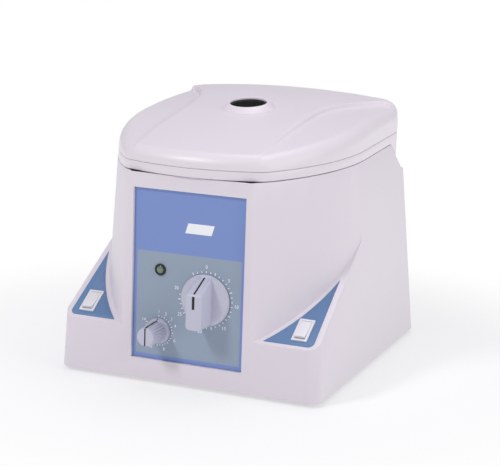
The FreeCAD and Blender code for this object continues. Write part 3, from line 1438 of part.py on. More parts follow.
core = new_body("transformer_core")
leg = s.core_width / 8
core_x = s.core_width / 2
pad(core, polygon(core, "XZ_Plane", rectangle(-core_x, 0, core_x, s.core_height)), s.core_depth, "Stack").Midplane = True
for name, sx in (("Left", -1), ("Right", 1)):
    near, far = leg * sx, (core_x - leg) * sx
    frame = rectangle(near, leg, far, s.core_height - leg)
    cut_through(core, polygon(core, "XZ_Plane", frame, f"{name}Window"), f"{name}WindowCut")
place(core, board_x, 0, plate_top)
coil = new_body("transformer_coil")
coil_y = s.core_depth / 2
pad(coil, polygon(coil, "XY_Plane", rectangle(leg - core_x, -coil_y - leg, core_x - leg, coil_y + leg)),
    s.core_height - 2 * leg, "Winding")
cut_through(coil, polygon(coil, "XY_Plane", rectangle(-leg, -coil_y, leg, coil_y), "Leg"), "LegHole")
place(coil, board_x, 0, plate_top + leg)

# Check and export
doc.recompute()
for thing in doc.Objects:
    if "Invalid" in thing.State or "Error" in thing.State:
        raise RuntimeError(f"{thing.Label} did not build: {thing.State}")
os.makedirs("parts", exist_ok=True)
for piece in pieces:
    shape = piece.Shape
    if shape.isNull() or not shape.isValid():
        raise RuntimeError(f"{piece.Label} has no valid shape")
    if not shape.Solids:
        raise RuntimeError(f"{piece.Label} holds no solid")
for piece in pieces:
    piece.Shape.exportStep(f"parts/{piece.Label}.step")
    print(piece.Label, len(piece.Shape.Solids), round(piece.Shape.Volume / 1000, 2), "cm3")
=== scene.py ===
"""Looks, light and camera for the benchtop microcentrifuge.

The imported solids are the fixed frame. Each class below dresses one sub-assembly: it builds finished
meshes in the same place as the solids, gives them their finishes and hands them to their moving body.
All lengths are in metres, +X to the right, -Y to the front, +Z up.
"""
import json
import logging
import math
from dataclasses import dataclass, field
from enum import Enum
from typing import Iterable, Optional, Sequence

import bmesh
import bpy
import numpy as np
from mathutils import Matrix, Vector
from mathutils.geometry import delaunay_2d_cdt

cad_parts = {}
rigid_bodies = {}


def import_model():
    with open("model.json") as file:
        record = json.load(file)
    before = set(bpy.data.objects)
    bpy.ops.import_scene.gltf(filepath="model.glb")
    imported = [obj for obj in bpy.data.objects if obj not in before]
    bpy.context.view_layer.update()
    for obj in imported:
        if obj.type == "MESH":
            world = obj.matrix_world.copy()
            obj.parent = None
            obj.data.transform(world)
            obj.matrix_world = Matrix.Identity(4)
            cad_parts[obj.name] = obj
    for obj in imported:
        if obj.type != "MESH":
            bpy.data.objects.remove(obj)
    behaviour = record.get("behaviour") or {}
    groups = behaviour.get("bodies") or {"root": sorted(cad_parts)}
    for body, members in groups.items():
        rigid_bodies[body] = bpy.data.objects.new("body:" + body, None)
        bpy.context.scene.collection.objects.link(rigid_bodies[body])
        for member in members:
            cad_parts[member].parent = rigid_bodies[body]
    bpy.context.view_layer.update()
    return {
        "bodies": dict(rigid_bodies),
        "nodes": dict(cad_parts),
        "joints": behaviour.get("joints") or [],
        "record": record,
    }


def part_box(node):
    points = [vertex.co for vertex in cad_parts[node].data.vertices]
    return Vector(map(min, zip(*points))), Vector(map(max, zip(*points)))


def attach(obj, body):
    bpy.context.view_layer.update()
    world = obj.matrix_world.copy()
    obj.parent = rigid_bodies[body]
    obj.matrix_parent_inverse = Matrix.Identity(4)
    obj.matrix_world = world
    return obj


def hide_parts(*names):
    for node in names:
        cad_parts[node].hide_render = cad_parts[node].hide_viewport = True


log = logging.getLogger("centrifuge")
MM = 0.001
FRONT_LEAN = math.radians(1.604)
FRONT_HALF_DEPTH = 142.7


class Slot(Enum):
    """Material slots of the record."""

    HOUSING = "housing"
    LID = "lid"
    PANEL = "panel"
    LABEL = "label"
    KNOB = "knob"
    SWITCH = "switch"
    BLACK = "black"
    LENS = "lens"
    WINDOW = "window"
    RUBBER = "rubber"
    ROTOR = "rotor"
    STEEL = "steel"
    PLATE = "plate"
    MOTOR = "motor"
    BRASS = "brass"
    BOARD = "board"
    WINDING = "winding"


class Body(Enum):
    """Moving bodies of the record."""

    BASE = "base"
    LID = "lid"
    ROTOR = "rotor"
    TIME = "time_dial"
    SPEED = "speed_dial"
    ROCKER_LEFT = "rocker_left"
    ROCKER_RIGHT = "rocker_right"
    BOLT = "lock_bolt"
    FUSE = "fuse_drawer"


def linear(red: float, green: float, blue: float) -> tuple[float, float, float, float]:
    """Turns a screen colour into the linear colour that shaders use.

    Args:
        red, green, blue: screen values from 0 to 255.

    Returns:
        Linear red, green, blue and an alpha of one.
    """
    def one(value: float) -> float:
        """One channel."""
        share = value / 255.0
        return share / 12.92 if share <= 0.04045 else ((share + 0.055) / 1.055) ** 2.4
    return one(red), one(green), one(blue), 1.0


@dataclass(frozen=True)
class Finish:
    """A surface finish, built as shader nodes that read object coordinates.

    Args:
        name: material name.
        colour: linear base colour.
        roughness: middle roughness.
        metallic: zero for plastics, one for bare metal.
        grain: size of the surface grain in metres, or zero for none.
        depth: height of the grain in metres.
        mottle: how far the colour drifts over the surface.
        specular: strength of the mirror part of plastics.
        coat: clear coat weight.
    """

    name: str
    colour: tuple[float, float, float, float]
    roughness: float = 0.45
    metallic: float = 0.0
    grain: float = 0.0
    depth: float = 0.0
    mottle: float = 0.0
    specular: float = 0.5
    coat: float = 0.0

    def build(self) -> bpy.types.Material:
        """Makes the material.

        Returns:
            The new material.
        """
        material = bpy.data.materials.new(self.name)
        material.use_nodes = True
        material.diffuse_color = self.colour
        tree = material.node_tree
        shader = tree.nodes["Principled BSDF"]
        shader.inputs["Base Color"].default_value = self.colour
        shader.inputs["Roughness"].default_value = self.roughness
        shader.inputs["Metallic"].default_value = self.metallic
        shader.inputs["Specular IOR Level"].default_value = self.specular
        shader.inputs["Coat Weight"].default_value = self.coat
        if self.grain or self.mottle:
            place = tree.nodes.new("ShaderNodeTexCoord")
            if self.grain:
                self._add_grain(tree, place, shader)
            if self.mottle:
                self._add_mottle(tree, place, shader)
        return material

    def _add_grain(self, tree: bpy.types.NodeTree, place: bpy.types.Node, shader: bpy.types.Node) -> None:
        """Adds a fine moulded or cast grain as a bump."""
        noise = tree.nodes.new("ShaderNodeTexNoise")
        noise.inputs["Scale"].default_value = 1.0 / self.grain
        noise.inputs["Detail"].default_value = 2.0
        bump = tree.nodes.new("ShaderNodeBump")
        bump.inputs["Strength"].default_value = 0.6
        bump.inputs["Distance"].default_value = self.depth
        tree.links.new(place.outputs["Object"], noise.inputs["Vector"])
        tree.links.new(noise.outputs["Fac"], bump.inputs["Height"])
        tree.links.new(bump.outputs["Normal"], shader.inputs["Normal"])

    def _add_mottle(self, tree: bpy.types.NodeTree, place: bpy.types.Node, shader: bpy.types.Node) -> None:
        """Lets colour and roughness drift a little, as handled plastic and metal do."""
        noise = tree.nodes.new("ShaderNodeTexNoise")
        noise.inputs["Scale"].default_value = 14.0
        noise.inputs["Detail"].default_value = 3.0
        tree.links.new(place.outputs["Object"], noise.inputs["Vector"])
        tint = tree.nodes.new("ShaderNodeMix")
        tint.data_type = "RGBA"
        low = tuple(channel * (1.0 - self.mottle) for channel in self.colour[:3]) + (1.0,)
        high = tuple(min(1.0, channel * (1.0 + self.mottle)) for channel in self.colour[:3]) + (1.0,)
        tint.inputs["A"].default_value = low
        tint.inputs["B"].default_value = high
        tree.links.new(noise.outputs["Fac"], tint.inputs["Factor"])
        tree.links.new(tint.outputs["Result"], shader.inputs["Base Color"])
        spread = tree.nodes.new("ShaderNodeMapRange")
        spread.inputs["To Min"].default_value = self.roughness * 0.92
        spread.inputs["To Max"].default_value = min(1.0, self.roughness * 1.08)
        tree.links.new(noise.outputs["Fac"], spread.inputs["Value"])
        tree.links.new(spread.outputs["Result"], shader.inputs["Roughness"])


@dataclass(frozen=True)
class GlassFinish(Finish):
    """Clear window plastic or glass."""

    def build(self) -> bpy.types.Material:
        """Makes a clear, dark tinted material.

        Returns:
            The new material.
        """
        material = super().build()
        shader = material.node_tree.nodes["Principled BSDF"]
        shader.inputs["Transmission Weight"].default_value = 1.0
        shader.inputs["IOR"].default_value = 1.05
        return material


FINISHES: dict[Slot, Finish] = {
    Slot.HOUSING: Finish("housing plastic", linear(226, 219, 228), 0.42, 0.0, 0.0009, 0.00002, 0.012),
    Slot.LID: Finish("lid plastic", linear(229, 222, 230), 0.36, 0.0, 0.0009, 0.000015, 0.012),
    Slot.PANEL: Finish("panel film", linear(124, 147, 206), 0.5, 0.0, 0.0004, 0.00001, 0.03),
    Slot.LABEL: Finish("label film", linear(98, 132, 176), 0.45, 0.0, 0.0004, 0.00001, 0.03),
    Slot.KNOB: Finish("knob plastic", linear(196, 196, 214), 0.4, 0.0, 0.0006, 0.00001, 0.02),
    Slot.SWITCH: Finish("switch plastic", linear(233, 232, 238), 0.25, specular=0.6),
    Slot.BLACK: Finish("black plastic", linear(28, 29, 33), 0.45, 0.0, 0.0005, 0.00001),
    Slot.LENS: Finish("lamp lens", linear(112, 128, 110), 0.15, coat=0.5),
    Slot.WINDOW: GlassFinish("smoked window", linear(52, 60, 62), 0.04),
    Slot.RUBBER: Finish("rubber", linear(40, 40, 43), 0.75, 0.0, 0.0006, 0.00002),
    Slot.ROTOR: Finish("anodised rotor", linear(74, 77, 84), 0.38, 0.85, mottle=0.04),
    Slot.STEEL: Finish("steel", linear(190, 191, 196), 0.3, 1.0, mottle=0.03),
    Slot.PLATE: Finish("zinc plate", linear(176, 179, 184), 0.42, 0.9, mottle=0.05),
    Slot.MOTOR: Finish("motor paint", linear(48, 50, 55), 0.4),
    Slot.BRASS: Finish("plated brass", linear(206, 180, 112), 0.28, 1.0),
    Slot.BOARD: Finish("board laminate", linear(34, 98, 62), 0.35, mottle=0.05),
    Slot.WINDING: Finish("taped winding", linear(212, 186, 96), 0.55),
}

PRINT_WHITE = Finish("printed light", linear(246, 248, 252), 0.5)
PRINT_DARK = Finish("printed black", linear(22, 23, 27), 0.5)
PRINT_INNER = Finish("printed field", linear(150, 165, 184), 0.5, mottle=0.02)


def evaluated_mesh(thing: bpy.types.Object) -> bpy.types.Mesh:
    """The plain mesh that an object's modifiers or text make."""
    graph = bpy.context.evaluated_depsgraph_get()
    graph.update()
    return bpy.data.meshes.new_from_object(thing.evaluated_get(graph))


def ended(work: bmesh.types.BMesh, name: str) -> bpy.types.Mesh:
    """Ends mesh work as a named mesh."""
    mesh = bpy.data.meshes.new(name)
    work.to_mesh(mesh)
    work.free()
    return mesh


def bridge(work: bmesh.types.BMesh, lower: Sequence, upper: Sequence) -> None:
    """Adds the closed band of quads between two rings of vertices."""
    count = len(lower)
    for k in range(count):
        after = (k + 1) % count
        work.faces.new((lower[k], lower[after], upper[after], upper[k]))


class Workshop:
    """Shared mesh work: finishes, bevelled copies of solids, and handing pieces to their bodies."""

    def __init__(self, frame: dict) -> None:
        """Keeps the frame and builds the finishes.
        """
        self.frame = frame
        self.nodes = frame["nodes"]
        self.materials: dict[str, bpy.types.Material] = {}
        low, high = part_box("housing_shell")
        self.shift = Vector((0.0, (low.y + high.y) / 2, low.z))
        for slot, finish in FINISHES.items():
            self.materials[slot.value] = finish.build()
        for finish in (PRINT_WHITE, PRINT_DARK, PRINT_INNER):
            self.materials[finish.name] = finish.build()
        for entry in frame["record"]["subparts"]:
            self.paint(self.nodes[entry["node"]], self.materials[entry["material_slot"]])

    @staticmethod
    def paint(thing: bpy.types.Object, material: bpy.types.Material) -> None:
        """Gives a mesh one material."""
        thing.data.materials.clear()
        thing.data.materials.append(material)

    def new_object(self, name: str, mesh: bpy.types.Mesh, material: str,
                   sharp: float = 32.0) -> bpy.types.Object:
        """Links a mesh to the scene as a finished piece.

        Args:
            name: object name.
            mesh: finished mesh.
            material: key of the material.
            sharp: edges steeper than this many degrees stay crisp.

        Returns:
            The new object.
        """
        mesh.shade_smooth()
        mesh.set_sharp_from_angle(angle=math.radians(sharp))
        thing = bpy.data.objects.new(name, mesh)
        bpy.context.scene.collection.objects.link(thing)
        self.paint(thing, self.materials[material])
        return thing

    @staticmethod
    def settle(thing: bpy.types.Object) -> None:
        """Replaces an object's modifiers by the mesh they make."""
        mesh = evaluated_mesh(thing)
        thing.modifiers.clear()
        old = thing.data
        thing.data = mesh
        bpy.data.meshes.remove(old)

    def bevelled(self, node: str, body: Body, slot: Slot, width: float = 0.4 * MM, segments: int = 2,
                 angle: float = 30.0) -> bpy.types.Object:
        """A copy of a solid with its hard edges broken, standing in for the solid.

        Args:
            node: CAD node to copy.
            body: body the copy moves with.
            slot: material slot.
            width: bevel width.
            segments: bevel steps.
            angle: edges steeper than this many degrees are bevelled.

        Returns:
            The new object.
        """
        work = bmesh.new()
        work.from_mesh(self.nodes[node].data)
        bmesh.ops.remove_doubles(work, verts=work.verts, dist=1e-6)
        bmesh.ops.dissolve_limit(work, angle_limit=math.radians(0.6), verts=work.verts, edges=work.edges)
        bmesh.ops.recalc_face_normals(work, faces=work.faces)
        name = f"{node}_looks"
        thing = self.new_object(name, ended(work, name), slot.value)
        if width > 0:
            bevel = thing.modifiers.new("Edges", "BEVEL")
            bevel.width = width
            bevel.segments = segments
            bevel.limit_method = "ANGLE"
            bevel.angle_limit = math.radians(angle)
            bevel.harden_normals = False
            self.settle(thing)
            thing.data.shade_smooth()
            thing.data.set_sharp_from_angle(angle=math.radians(38))
        return self.finish_piece(thing, body, slot, (node,))

    def finish_piece(self, thing: bpy.types.Object, body: Body, slot: Slot,
                     replaced: Iterable[str] = ()) -> bpy.types.Object:
        """Hands a finished piece to its body.

        Args:
            thing: the piece.
            body: body it moves with.
            slot: material slot; not used.
            replaced: CAD nodes it stands in for.

        Returns:
            The same object.
        """
        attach(thing, body.value)
        nodes = tuple(replaced)
        if nodes:
            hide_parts(*nodes)
        return thing


@dataclass
class LidForm:
    """The lid's outline and crown, in the shell's own millimetres."""

    half_width: float = 133.0
    side_slope: float = math.tan(math.radians(3.38))
    sweep_low: float = 167.0
    sweep_high: float = 185.0
    start_low: float = -10.0
    start_high: float = 0.0
    sweep_height: float = 196.0
    front: float = 139.6
    front_radius: float = 210.0
    corner: float = 24.0
    rear_slope: float = math.tan(math.radians(14.3))
    notch_back: float = 106.5
    notch_height: float = 176.8
    crown_radius: float = 980.0
    crown_back: float = 110.0
    top: float = 249.5
    edge: float = 14.5
    tilt: float = 1.0
    drop: float = 0.8
    hinge_back: float = 125.0
    hinge_height: float = 220.0
    seam: float = 0.25
    crease_front: float = 61.5
    crease_middle: float = 66.3
    crease_turn: float = -7.0
    crease_radius: float = 160.0
    gap_height: float = 195.8
    gap_slope: float = math.tan(math.radians(2.23))
    rim: float = 9.0
    rotor_back: float = -4.6
    low: float = 168.8
    high: float = 269.5
    counts: tuple[int, ...] = (56, 22, 64, 26, 60, 40)

    def outline(self, z: float) -> np.ndarray:
        """Plan outline at a height, counter-clockwise from the middle of the front.

        Args:
            z: height.

        Returns:
            Points shaped (count, 2).
        """
        share = z / self.sweep_height
        radius = self.sweep_low + (self.sweep_high - self.sweep_low) * share
        cy = self.start_low + (self.start_high - self.start_low) * share
        half = self.half_width - self.side_slope * z
        cx = half - radius
        rear = self.notch_back + self.rear_slope * (z - self.notch_height)
        fc = self.front_radius - self.front
        first, second = self.front_radius - self.corner, radius - self.corner
        span = math.hypot(cx, cy - fc)
        along = (first ** 2 - second ** 2 + span ** 2) / (2 * span)
        across = math.sqrt(first ** 2 - along ** 2)
        ux, uy = cx / span, (cy - fc) / span
        kx, ky = ux * along - uy * across, fc + uy * along + ux * across
        if kx < 0 or ky > 0:
            kx, ky = ux * along + uy * across, fc + uy * along - ux * across
        a = (kx * self.front_radius / first, fc + (ky - fc) * self.front_radius / first)
        b = (cx + (kx - cx) * radius / second, cy + (ky - cy) * radius / second)

        def arc(x: float, y: float, r: float, start: tuple, end: tuple, count: int) -> list:
            """Points of an arc round (x, y), without its last one."""
            t0, t1 = math.atan2(start[1] - y, start[0] - x), math.atan2(end[1] - y, end[0] - x)
            turns = [t0 + (t1 - t0) * k / count for k in range(count)]
            return [(x + r * math.cos(turn), y + r * math.sin(turn)) for turn in turns]
        c, d, e = (half, cy), (half, rear - self.corner), (half - self.corner, rear)
        front_n, corner_n, side_n, line_n, rear_n, back_n = self.counts
        right = arc(0, fc, self.front_radius, (0, -self.front), a, front_n)
        right += arc(kx, ky, self.corner, a, b, corner_n)
        right += arc(cx, cy, radius, b, c, side_n)
        right += [(c[0] + (d[0] - c[0]) * k / line_n, c[1] + (d[1] - c[1]) * k / line_n)
                  for k in range(line_n)]
        right += arc(half - self.corner, rear - self.corner, self.corner, d, e, rear_n)
        right += [(e[0] * (1 - k / back_n), rear) for k in range(back_n + 1)]
        left = [(-x, y) for x, y in reversed(right[1:-1])]
        return np.array(right + left)

    def crown(self, x: np.ndarray, y: np.ndarray, tilt: float) -> np.ndarray:
        """Height of the crown ball, tipped about the front by an angle in degrees."""
        cy, cz = self.crown_back, self.top - self.crown_radius
        angle = math.radians(-tilt)
        dy, dz = cy + self.hinge_back, cz - self.hinge_height
        cy2 = -self.hinge_back + dy * math.cos(angle) - dz * math.sin(angle)
        cz2 = self.hinge_height + dy * math.sin(angle) + dz * math.cos(angle)
        step = self.drop if tilt else 0.0
        return cz2 - step + np.sqrt(self.crown_radius ** 2 - x ** 2 - (y - cy2) ** 2)

    def beyond_crease(self, x: np.ndarray, y: np.ndarray) -> np.ndarray:
        """Distance outside the crease between deck and side scoops; negative on the deck."""
        cx = self.crease_middle + self.crease_radius
        bend = np.clip(y - self.crease_turn, 0.0, self.crease_radius * 0.98)
        curved = cx - np.sqrt(self.crease_radius ** 2 - bend ** 2)
        slope = (self.crease_middle - self.crease_front) / (self.front + self.crease_turn)
        straight = self.crease_middle + (y - self.crease_turn) * slope
        edge = np.where(y > self.crease_turn, curved, straight)
        return (np.abs(x) - edge) * np.cos(np.arcsin(bend / self.crease_radius))

    def scoop_share(self, x: np.ndarray, y: np.ndarray) -> np.ndarray:
        """How much a place belongs to the lower side scoops, from zero to one."""
        t = np.clip((self.beyond_crease(x, y) + 0.3) / 2.2, 0.0, 1.0)
        return t * t * (3 - 2 * t)

    def top_height(self, x: np.ndarray, y: np.ndarray) -> np.ndarray:
        """Height of the finished top."""
        share = self.scoop_share(x, y)
        return (1 - share) * self.crown(x, y, 0.0) + share * self.crown(x, y, self.tilt)

    def rollover(self, tilt: float, steps: int = 14) -> np.ndarray:
        """Side wall and rounded top edge of one crown, as rows going up and in.

        Args:
            tilt: tilt of the crown.
            steps: rows on the rounding.

        Returns:
            Points shaped (rows, count, 3).
        """
        low, high = self.outline(self.low), self.outline(self.high)
        rate = (high - low) / (self.high - self.low)

        def wall(z: np.ndarray) -> np.ndarray:
            """Plan points of the side wall at a height for each."""
            return low + rate * (z - self.low)[:, None]
        z = np.full(len(low), 225.0)
        for _ in range(12):
            at = wall(z)
            z = self.crown(at[:, 0], at[:, 1], tilt)
        q = wall(z)
        tangent = np.roll(q, -1, axis=0) - np.roll(q, 1, axis=0)
        tangent /= np.linalg.norm(tangent, axis=1, keepdims=True)
        inward = np.stack([-tangent[:, 1], tangent[:, 0]], axis=1)
        lean = np.sum(rate * inward, axis=1)
        drift = np.sum(rate * tangent, axis=1)
        probe = q + inward
        rise = self.crown(probe[:, 0], probe[:, 1], tilt) - z
        down = np.stack([-lean, -np.ones_like(lean)], axis=1)
        down /= np.linalg.norm(down, axis=1, keepdims=True)
        over = np.stack([np.ones_like(rise), rise], axis=1)
        over /= np.linalg.norm(over, axis=1, keepdims=True)
        opening = np.arccos(np.clip(np.sum(down * over, axis=1), -1, 1))
        reach = self.edge / np.tan(opening / 2)
        middle = down + over
        middle /= np.linalg.norm(middle, axis=1, keepdims=True)
        centre = middle * (self.edge / np.sin(opening / 2))[:, None]
        first, last = down * reach[:, None] - centre, over * reach[:, None] - centre
        rows = []
        bottom_z = self.parting(q[:, 1])
        for _ in range(4):
            bottom_z = self.parting(wall(bottom_z)[:, 1])
        bottom_z = bottom_z + self.seam
        for lift, inset in ((0.0, 0.9), (0.15, 0.35), (0.45, 0.08), (0.9, 0.0)):
            at = wall(bottom_z + lift) + inward * inset
            rows.append(np.column_stack([at, bottom_z + lift]))
        start_z = z + down[:, 1] * reach
        for k in range(1, 5):
            level = bottom_z + 0.9 + (start_z - bottom_z - 0.9) * k / 5
            rows.append(np.column_stack([wall(level), level]))
        for k in range(steps + 1):
            t = k / steps
            sweep = math.pi - opening
            a = np.sin((1 - t) * sweep) / np.sin(sweep)
            b = np.sin(t * sweep) / np.sin(sweep)
            spot = centre + first * a[:, None] + last * b[:, None]
            at = q + inward * spot[:, :1] + tangent * (drift * spot[:, 1])[:, None]
            level = z + spot[:, 1]
            true = self.crown(at[:, 0], at[:, 1], tilt)
            level = level + (true - level) * (t ** 8)
            rows.append(np.column_stack([at, level]))
        return np.stack(rows)

    def parting(self, y: np.ndarray) -> np.ndarray:
        """Height of the line between the lid's cover and its rim."""
        front_at_gap = -FRONT_HALF_DEPTH + math.tan(FRONT_LEAN) * self.gap_height
        return self.gap_height + self.gap_slope * (y - front_at_gap) + self.rim

    def skin(self) -> np.ndarray:
        """Side wall and top edge of the finished lid, deck and scoops merged."""
        deck, scoop = self.rollover(0.0), self.rollover(self.tilt)
        share = self.scoop_share(deck[..., 0], deck[..., 1])[..., None]
        merged = deck * (1 - share) + scoop * share
        merged[-1, :, 2] = self.top_height(merged[-1, :, 0], merged[-1, :, 1])
        return merged


@dataclass
class Lid:
    """The lid: smooth cover, rim, window and what it carries."""

    shop: Workshop
    form: LidForm = field(default_factory=LidForm)
    hole_radius: float = 22.3
    crease_lines: tuple[float, ...] = (-0.3, 0.15, 0.8, 1.45, 1.9)
    crease_step: float = 1.5
    deck_step: float = 6.0
    clear: float = 2.5

    def build(self) -> None:
        """Builds and dresses the whole lid."""
        self.cover()
        shop = self.shop
        shop.bevelled("lid_liner", Body.LID, Slot.LID, 0.3 * MM)
        shop.bevelled("window_ring", Body.LID, Slot.LID, 0.5 * MM, 3)
        shop.bevelled("lid_window", Body.LID, Slot.WINDOW, 0.2 * MM, 1)
        shop.bevelled("lid_screws", Body.LID, Slot.STEEL, 0.3 * MM)
        shop.bevelled("lid_striker", Body.LID, Slot.STEEL, 0.3 * MM)
        for side in ("left", "right"):
            shop.bevelled(f"hinge_leaf_{side}", Body.LID, Slot.STEEL, 0.2 * MM, 1)

    def cover(self) -> bpy.types.Object:
        """Builds the smooth cover as one closed mesh.

        Returns:
            The finished object.
        """
        form = self.form
        skin = form.skin()
        work = bmesh.new()
        rows = [[work.verts.new(point) for point in row] for row in skin.tolist()]
        for lower, upper in zip(rows, rows[1:]):
            bridge(work, lower, upper)
        self.fill_top(work, skin[-1])
        self.fill_floor(work, skin[0])
        bmesh.ops.remove_doubles(work, verts=work.verts, dist=1e-4)
        bmesh.ops.recalc_face_normals(work, faces=work.faces)
        log.info("lid cover open edges %d", sum(1 for e in work.edges if len(e.link_faces) != 2))
        placing = Matrix.Translation(self.shop.shift) @ Matrix.Scale(MM, 4)
        bmesh.ops.transform(work, matrix=placing, verts=work.verts)
        thing = self.shop.new_object("lid_cover_looks", ended(work, "lid_cover_looks"), Slot.LID.value, 40)
        return self.shop.finish_piece(thing, Body.LID, Slot.LID, ("lid_cover",))

    def hole(self, count: int = 96) -> np.ndarray:
        """Plan points of the window hole."""
        turns = np.arange(count) * 2 * math.pi / count
        across = self.hole_radius * np.cos(turns)
        back = self.form.rotor_back + self.hole_radius * np.sin(turns)
        return np.stack([across, back], 1)

    @staticmethod
    def ring_edges(loop: Sequence, hole: Sequence) -> list[tuple[int, int]]:
        """Edges of the outline and then of the hole, as pairs of point numbers."""
        edges = [(k, (k + 1) % len(loop)) for k in range(len(loop))]
        return edges + [(len(loop) + k, len(loop) + (k + 1) % len(hole)) for k in range(len(hole))]

    def fill_top(self, work: bmesh.types.BMesh, edge: np.ndarray) -> None:
        """Fills the crown inside the rounded edge, with vertices along both creases."""
        form = self.form
        loop = edge[:, :2]
        hole = self.hole()
        points = [tuple(p) for p in loop] + [tuple(p) for p in hole]
        inside = Inside(loop)
        for side in (-1, 1):
            for offset in self.crease_lines:
                for y in np.arange(-132.0, 122.0, self.crease_step):
                    x = self.crease_x(y, offset)
                    if inside.margin(x, y) > 0.7 and x < 118:
                        points.append((side * x, y))
        for x in np.arange(-114.0, 115.0, self.deck_step):
            for y in np.arange(-120.0, 121.0, self.deck_step):
                away = abs(float(form.beyond_crease(np.array(x), np.array(y))) - 1.2)
                off_hole = math.hypot(x, y - form.rotor_back) > self.hole_radius + 2
                if inside.margin(x, y) > self.clear and away > self.clear and off_hole:
                    points.append((x, y))
        edges = self.ring_edges(loop, hole)
        flat, _, faces, *_ = delaunay_2d_cdt([Vector(p) for p in points], edges, [], 0, 1e-5)
        flat_array = np.array([(p.x, p.y) for p in flat])
        heights = form.top_height(flat_array[:, 0], flat_array[:, 1])
        heights[:len(loop)] = edge[:, 2]
        made = [work.verts.new((p.x, p.y, h)) for p, h in zip(flat, heights)]
        for face in faces:
            if self.kept(flat_array[list(face)], inside):
                work.faces.new([made[k] for k in face])

    def kept(self, corners: np.ndarray, inside: "Inside") -> bool:
        """Whether a flat face lies inside the outline, outside the window hole, and isn't a sliver."""
        middle = corners.mean(axis=0)
        one, two = corners[1] - corners[0], corners[2] - corners[0]
        area = abs(one[0] * two[1] - one[1] * two[0]) / 2
        outside_hole = math.hypot(middle[0], middle[1] - self.form.rotor_back) > self.hole_radius * 0.999
        return bool(area > 1e-4 and inside.margin(middle[0], middle[1]) > 1e-3 and outside_hole)

    def crease_x(self, y: float, offset: float) -> float:
        """X of a line beside the crease, at a place along it."""
        form = self.form
        if y <= form.crease_turn:
            slope = (form.crease_middle - form.crease_front) / (form.front + form.crease_turn)
            return form.crease_middle + (y - form.crease_turn) * slope + offset
        bend = y - form.crease_turn
        edge = form.crease_middle + form.crease_radius - math.sqrt(form.crease_radius ** 2 - bend ** 2)
        return edge + offset / math.cos(math.asin(bend / form.crease_radius))

    def fill_floor(self, work: bmesh.types.BMesh, edge: np.ndarray) -> None:
        """Closes the cover below and round the window hole."""
        hole = self.hole()
        loop = edge[:, :2]
        points = [Vector(p) for p in loop] + [Vector(p) for p in hole]
        flat, _, faces, *_ = delaunay_2d_cdt(points, self.ring_edges(loop, hole), [], 0, 1e-5)
        floor = self.form.parting(np.array([p.y for p in flat])) + self.form.seam
        floor[:len(loop)] = edge[:, 2]
        made = [work.verts.new((p.x, p.y, h)) for p, h in zip(flat, floor)]
        inside = Inside(loop)
        for face in faces:
            if self.kept(np.array([(flat[k].x, flat[k].y) for k in face]), inside):
                work.faces.new([made[k] for k in reversed(face)])
        top = self.form.top_height(hole[:, 0], hole[:, 1])
        bottom = self.form.parting(hole[:, 1]) + self.form.seam
        upper = [work.verts.new((x, y, h)) for (x, y), h in zip(hole, top)]
        lower = [work.verts.new((x, y, h)) for (x, y), h in zip(hole, bottom)]
        bridge(work, upper, lower)


class Inside:
    """Tests how far inside a closed plan outline a point lies."""

    def __init__(self, loop: np.ndarray) -> None:
        """Keeps the outline.

        Args:
            loop: points shaped (count, 2).
        """
        self.start = loop
        self.end = np.roll(loop, -1, axis=0)

    def margin(self, x: float, y: float) -> float:
        """Distance to the outline, negative outside it."""
        a, b = self.start, self.end
        d = b - a
        along = (x - a[:, 0]) * d[:, 0] + (y - a[:, 1]) * d[:, 1]
        t = np.clip(along / np.maximum((d ** 2).sum(1), 1e-12), 0, 1)
        away = np.hypot(a[:, 0] + t * d[:, 0] - x, a[:, 1] + t * d[:, 1] - y).min()
        crosses = ((a[:, 1] > y) != (b[:, 1] > y))
        with np.errstate(divide="ignore", invalid="ignore"):
            at = a[:, 0] + (y - a[:, 1]) * d[:, 0] / d[:, 1]
        inside = bool(np.count_nonzero(crosses & (x < at)) % 2)
        return float(away if inside else -away)


@dataclass(frozen=True)
class FrontPlane:
    """The leaning front plane that carries the panel, its print and the dials."""

    lean: float = FRONT_LEAN
    half_depth: float = FRONT_HALF_DEPTH
    recess: float = 3.0

    def matrix(self, shop: Workshop, x: float, z: float, out: float) -> Matrix:
        """Frame on the plane: X to the right, Y up along it, Z out of it, in millimetres.

        Args:
            shop: gives the shift from the shell's coordinates.
            x, z: place on the plane.
            out: distance in front of it.

        Returns:
            Matrix that carries local millimetres to world metres.
        """
        lean_cos, lean_sin = math.cos(self.lean), math.sin(self.lean)
        place = Vector((x, -self.half_depth + math.tan(self.lean) * z - out * lean_cos, z + out * lean_sin))
        axes = Matrix(((1, 0, 0), (0, lean_sin, lean_cos), (0, -lean_cos, lean_sin))).transposed()
        return Matrix.Translation(place * MM + shop.shift) @ axes.to_4x4() @ Matrix.Scale(MM, 4)


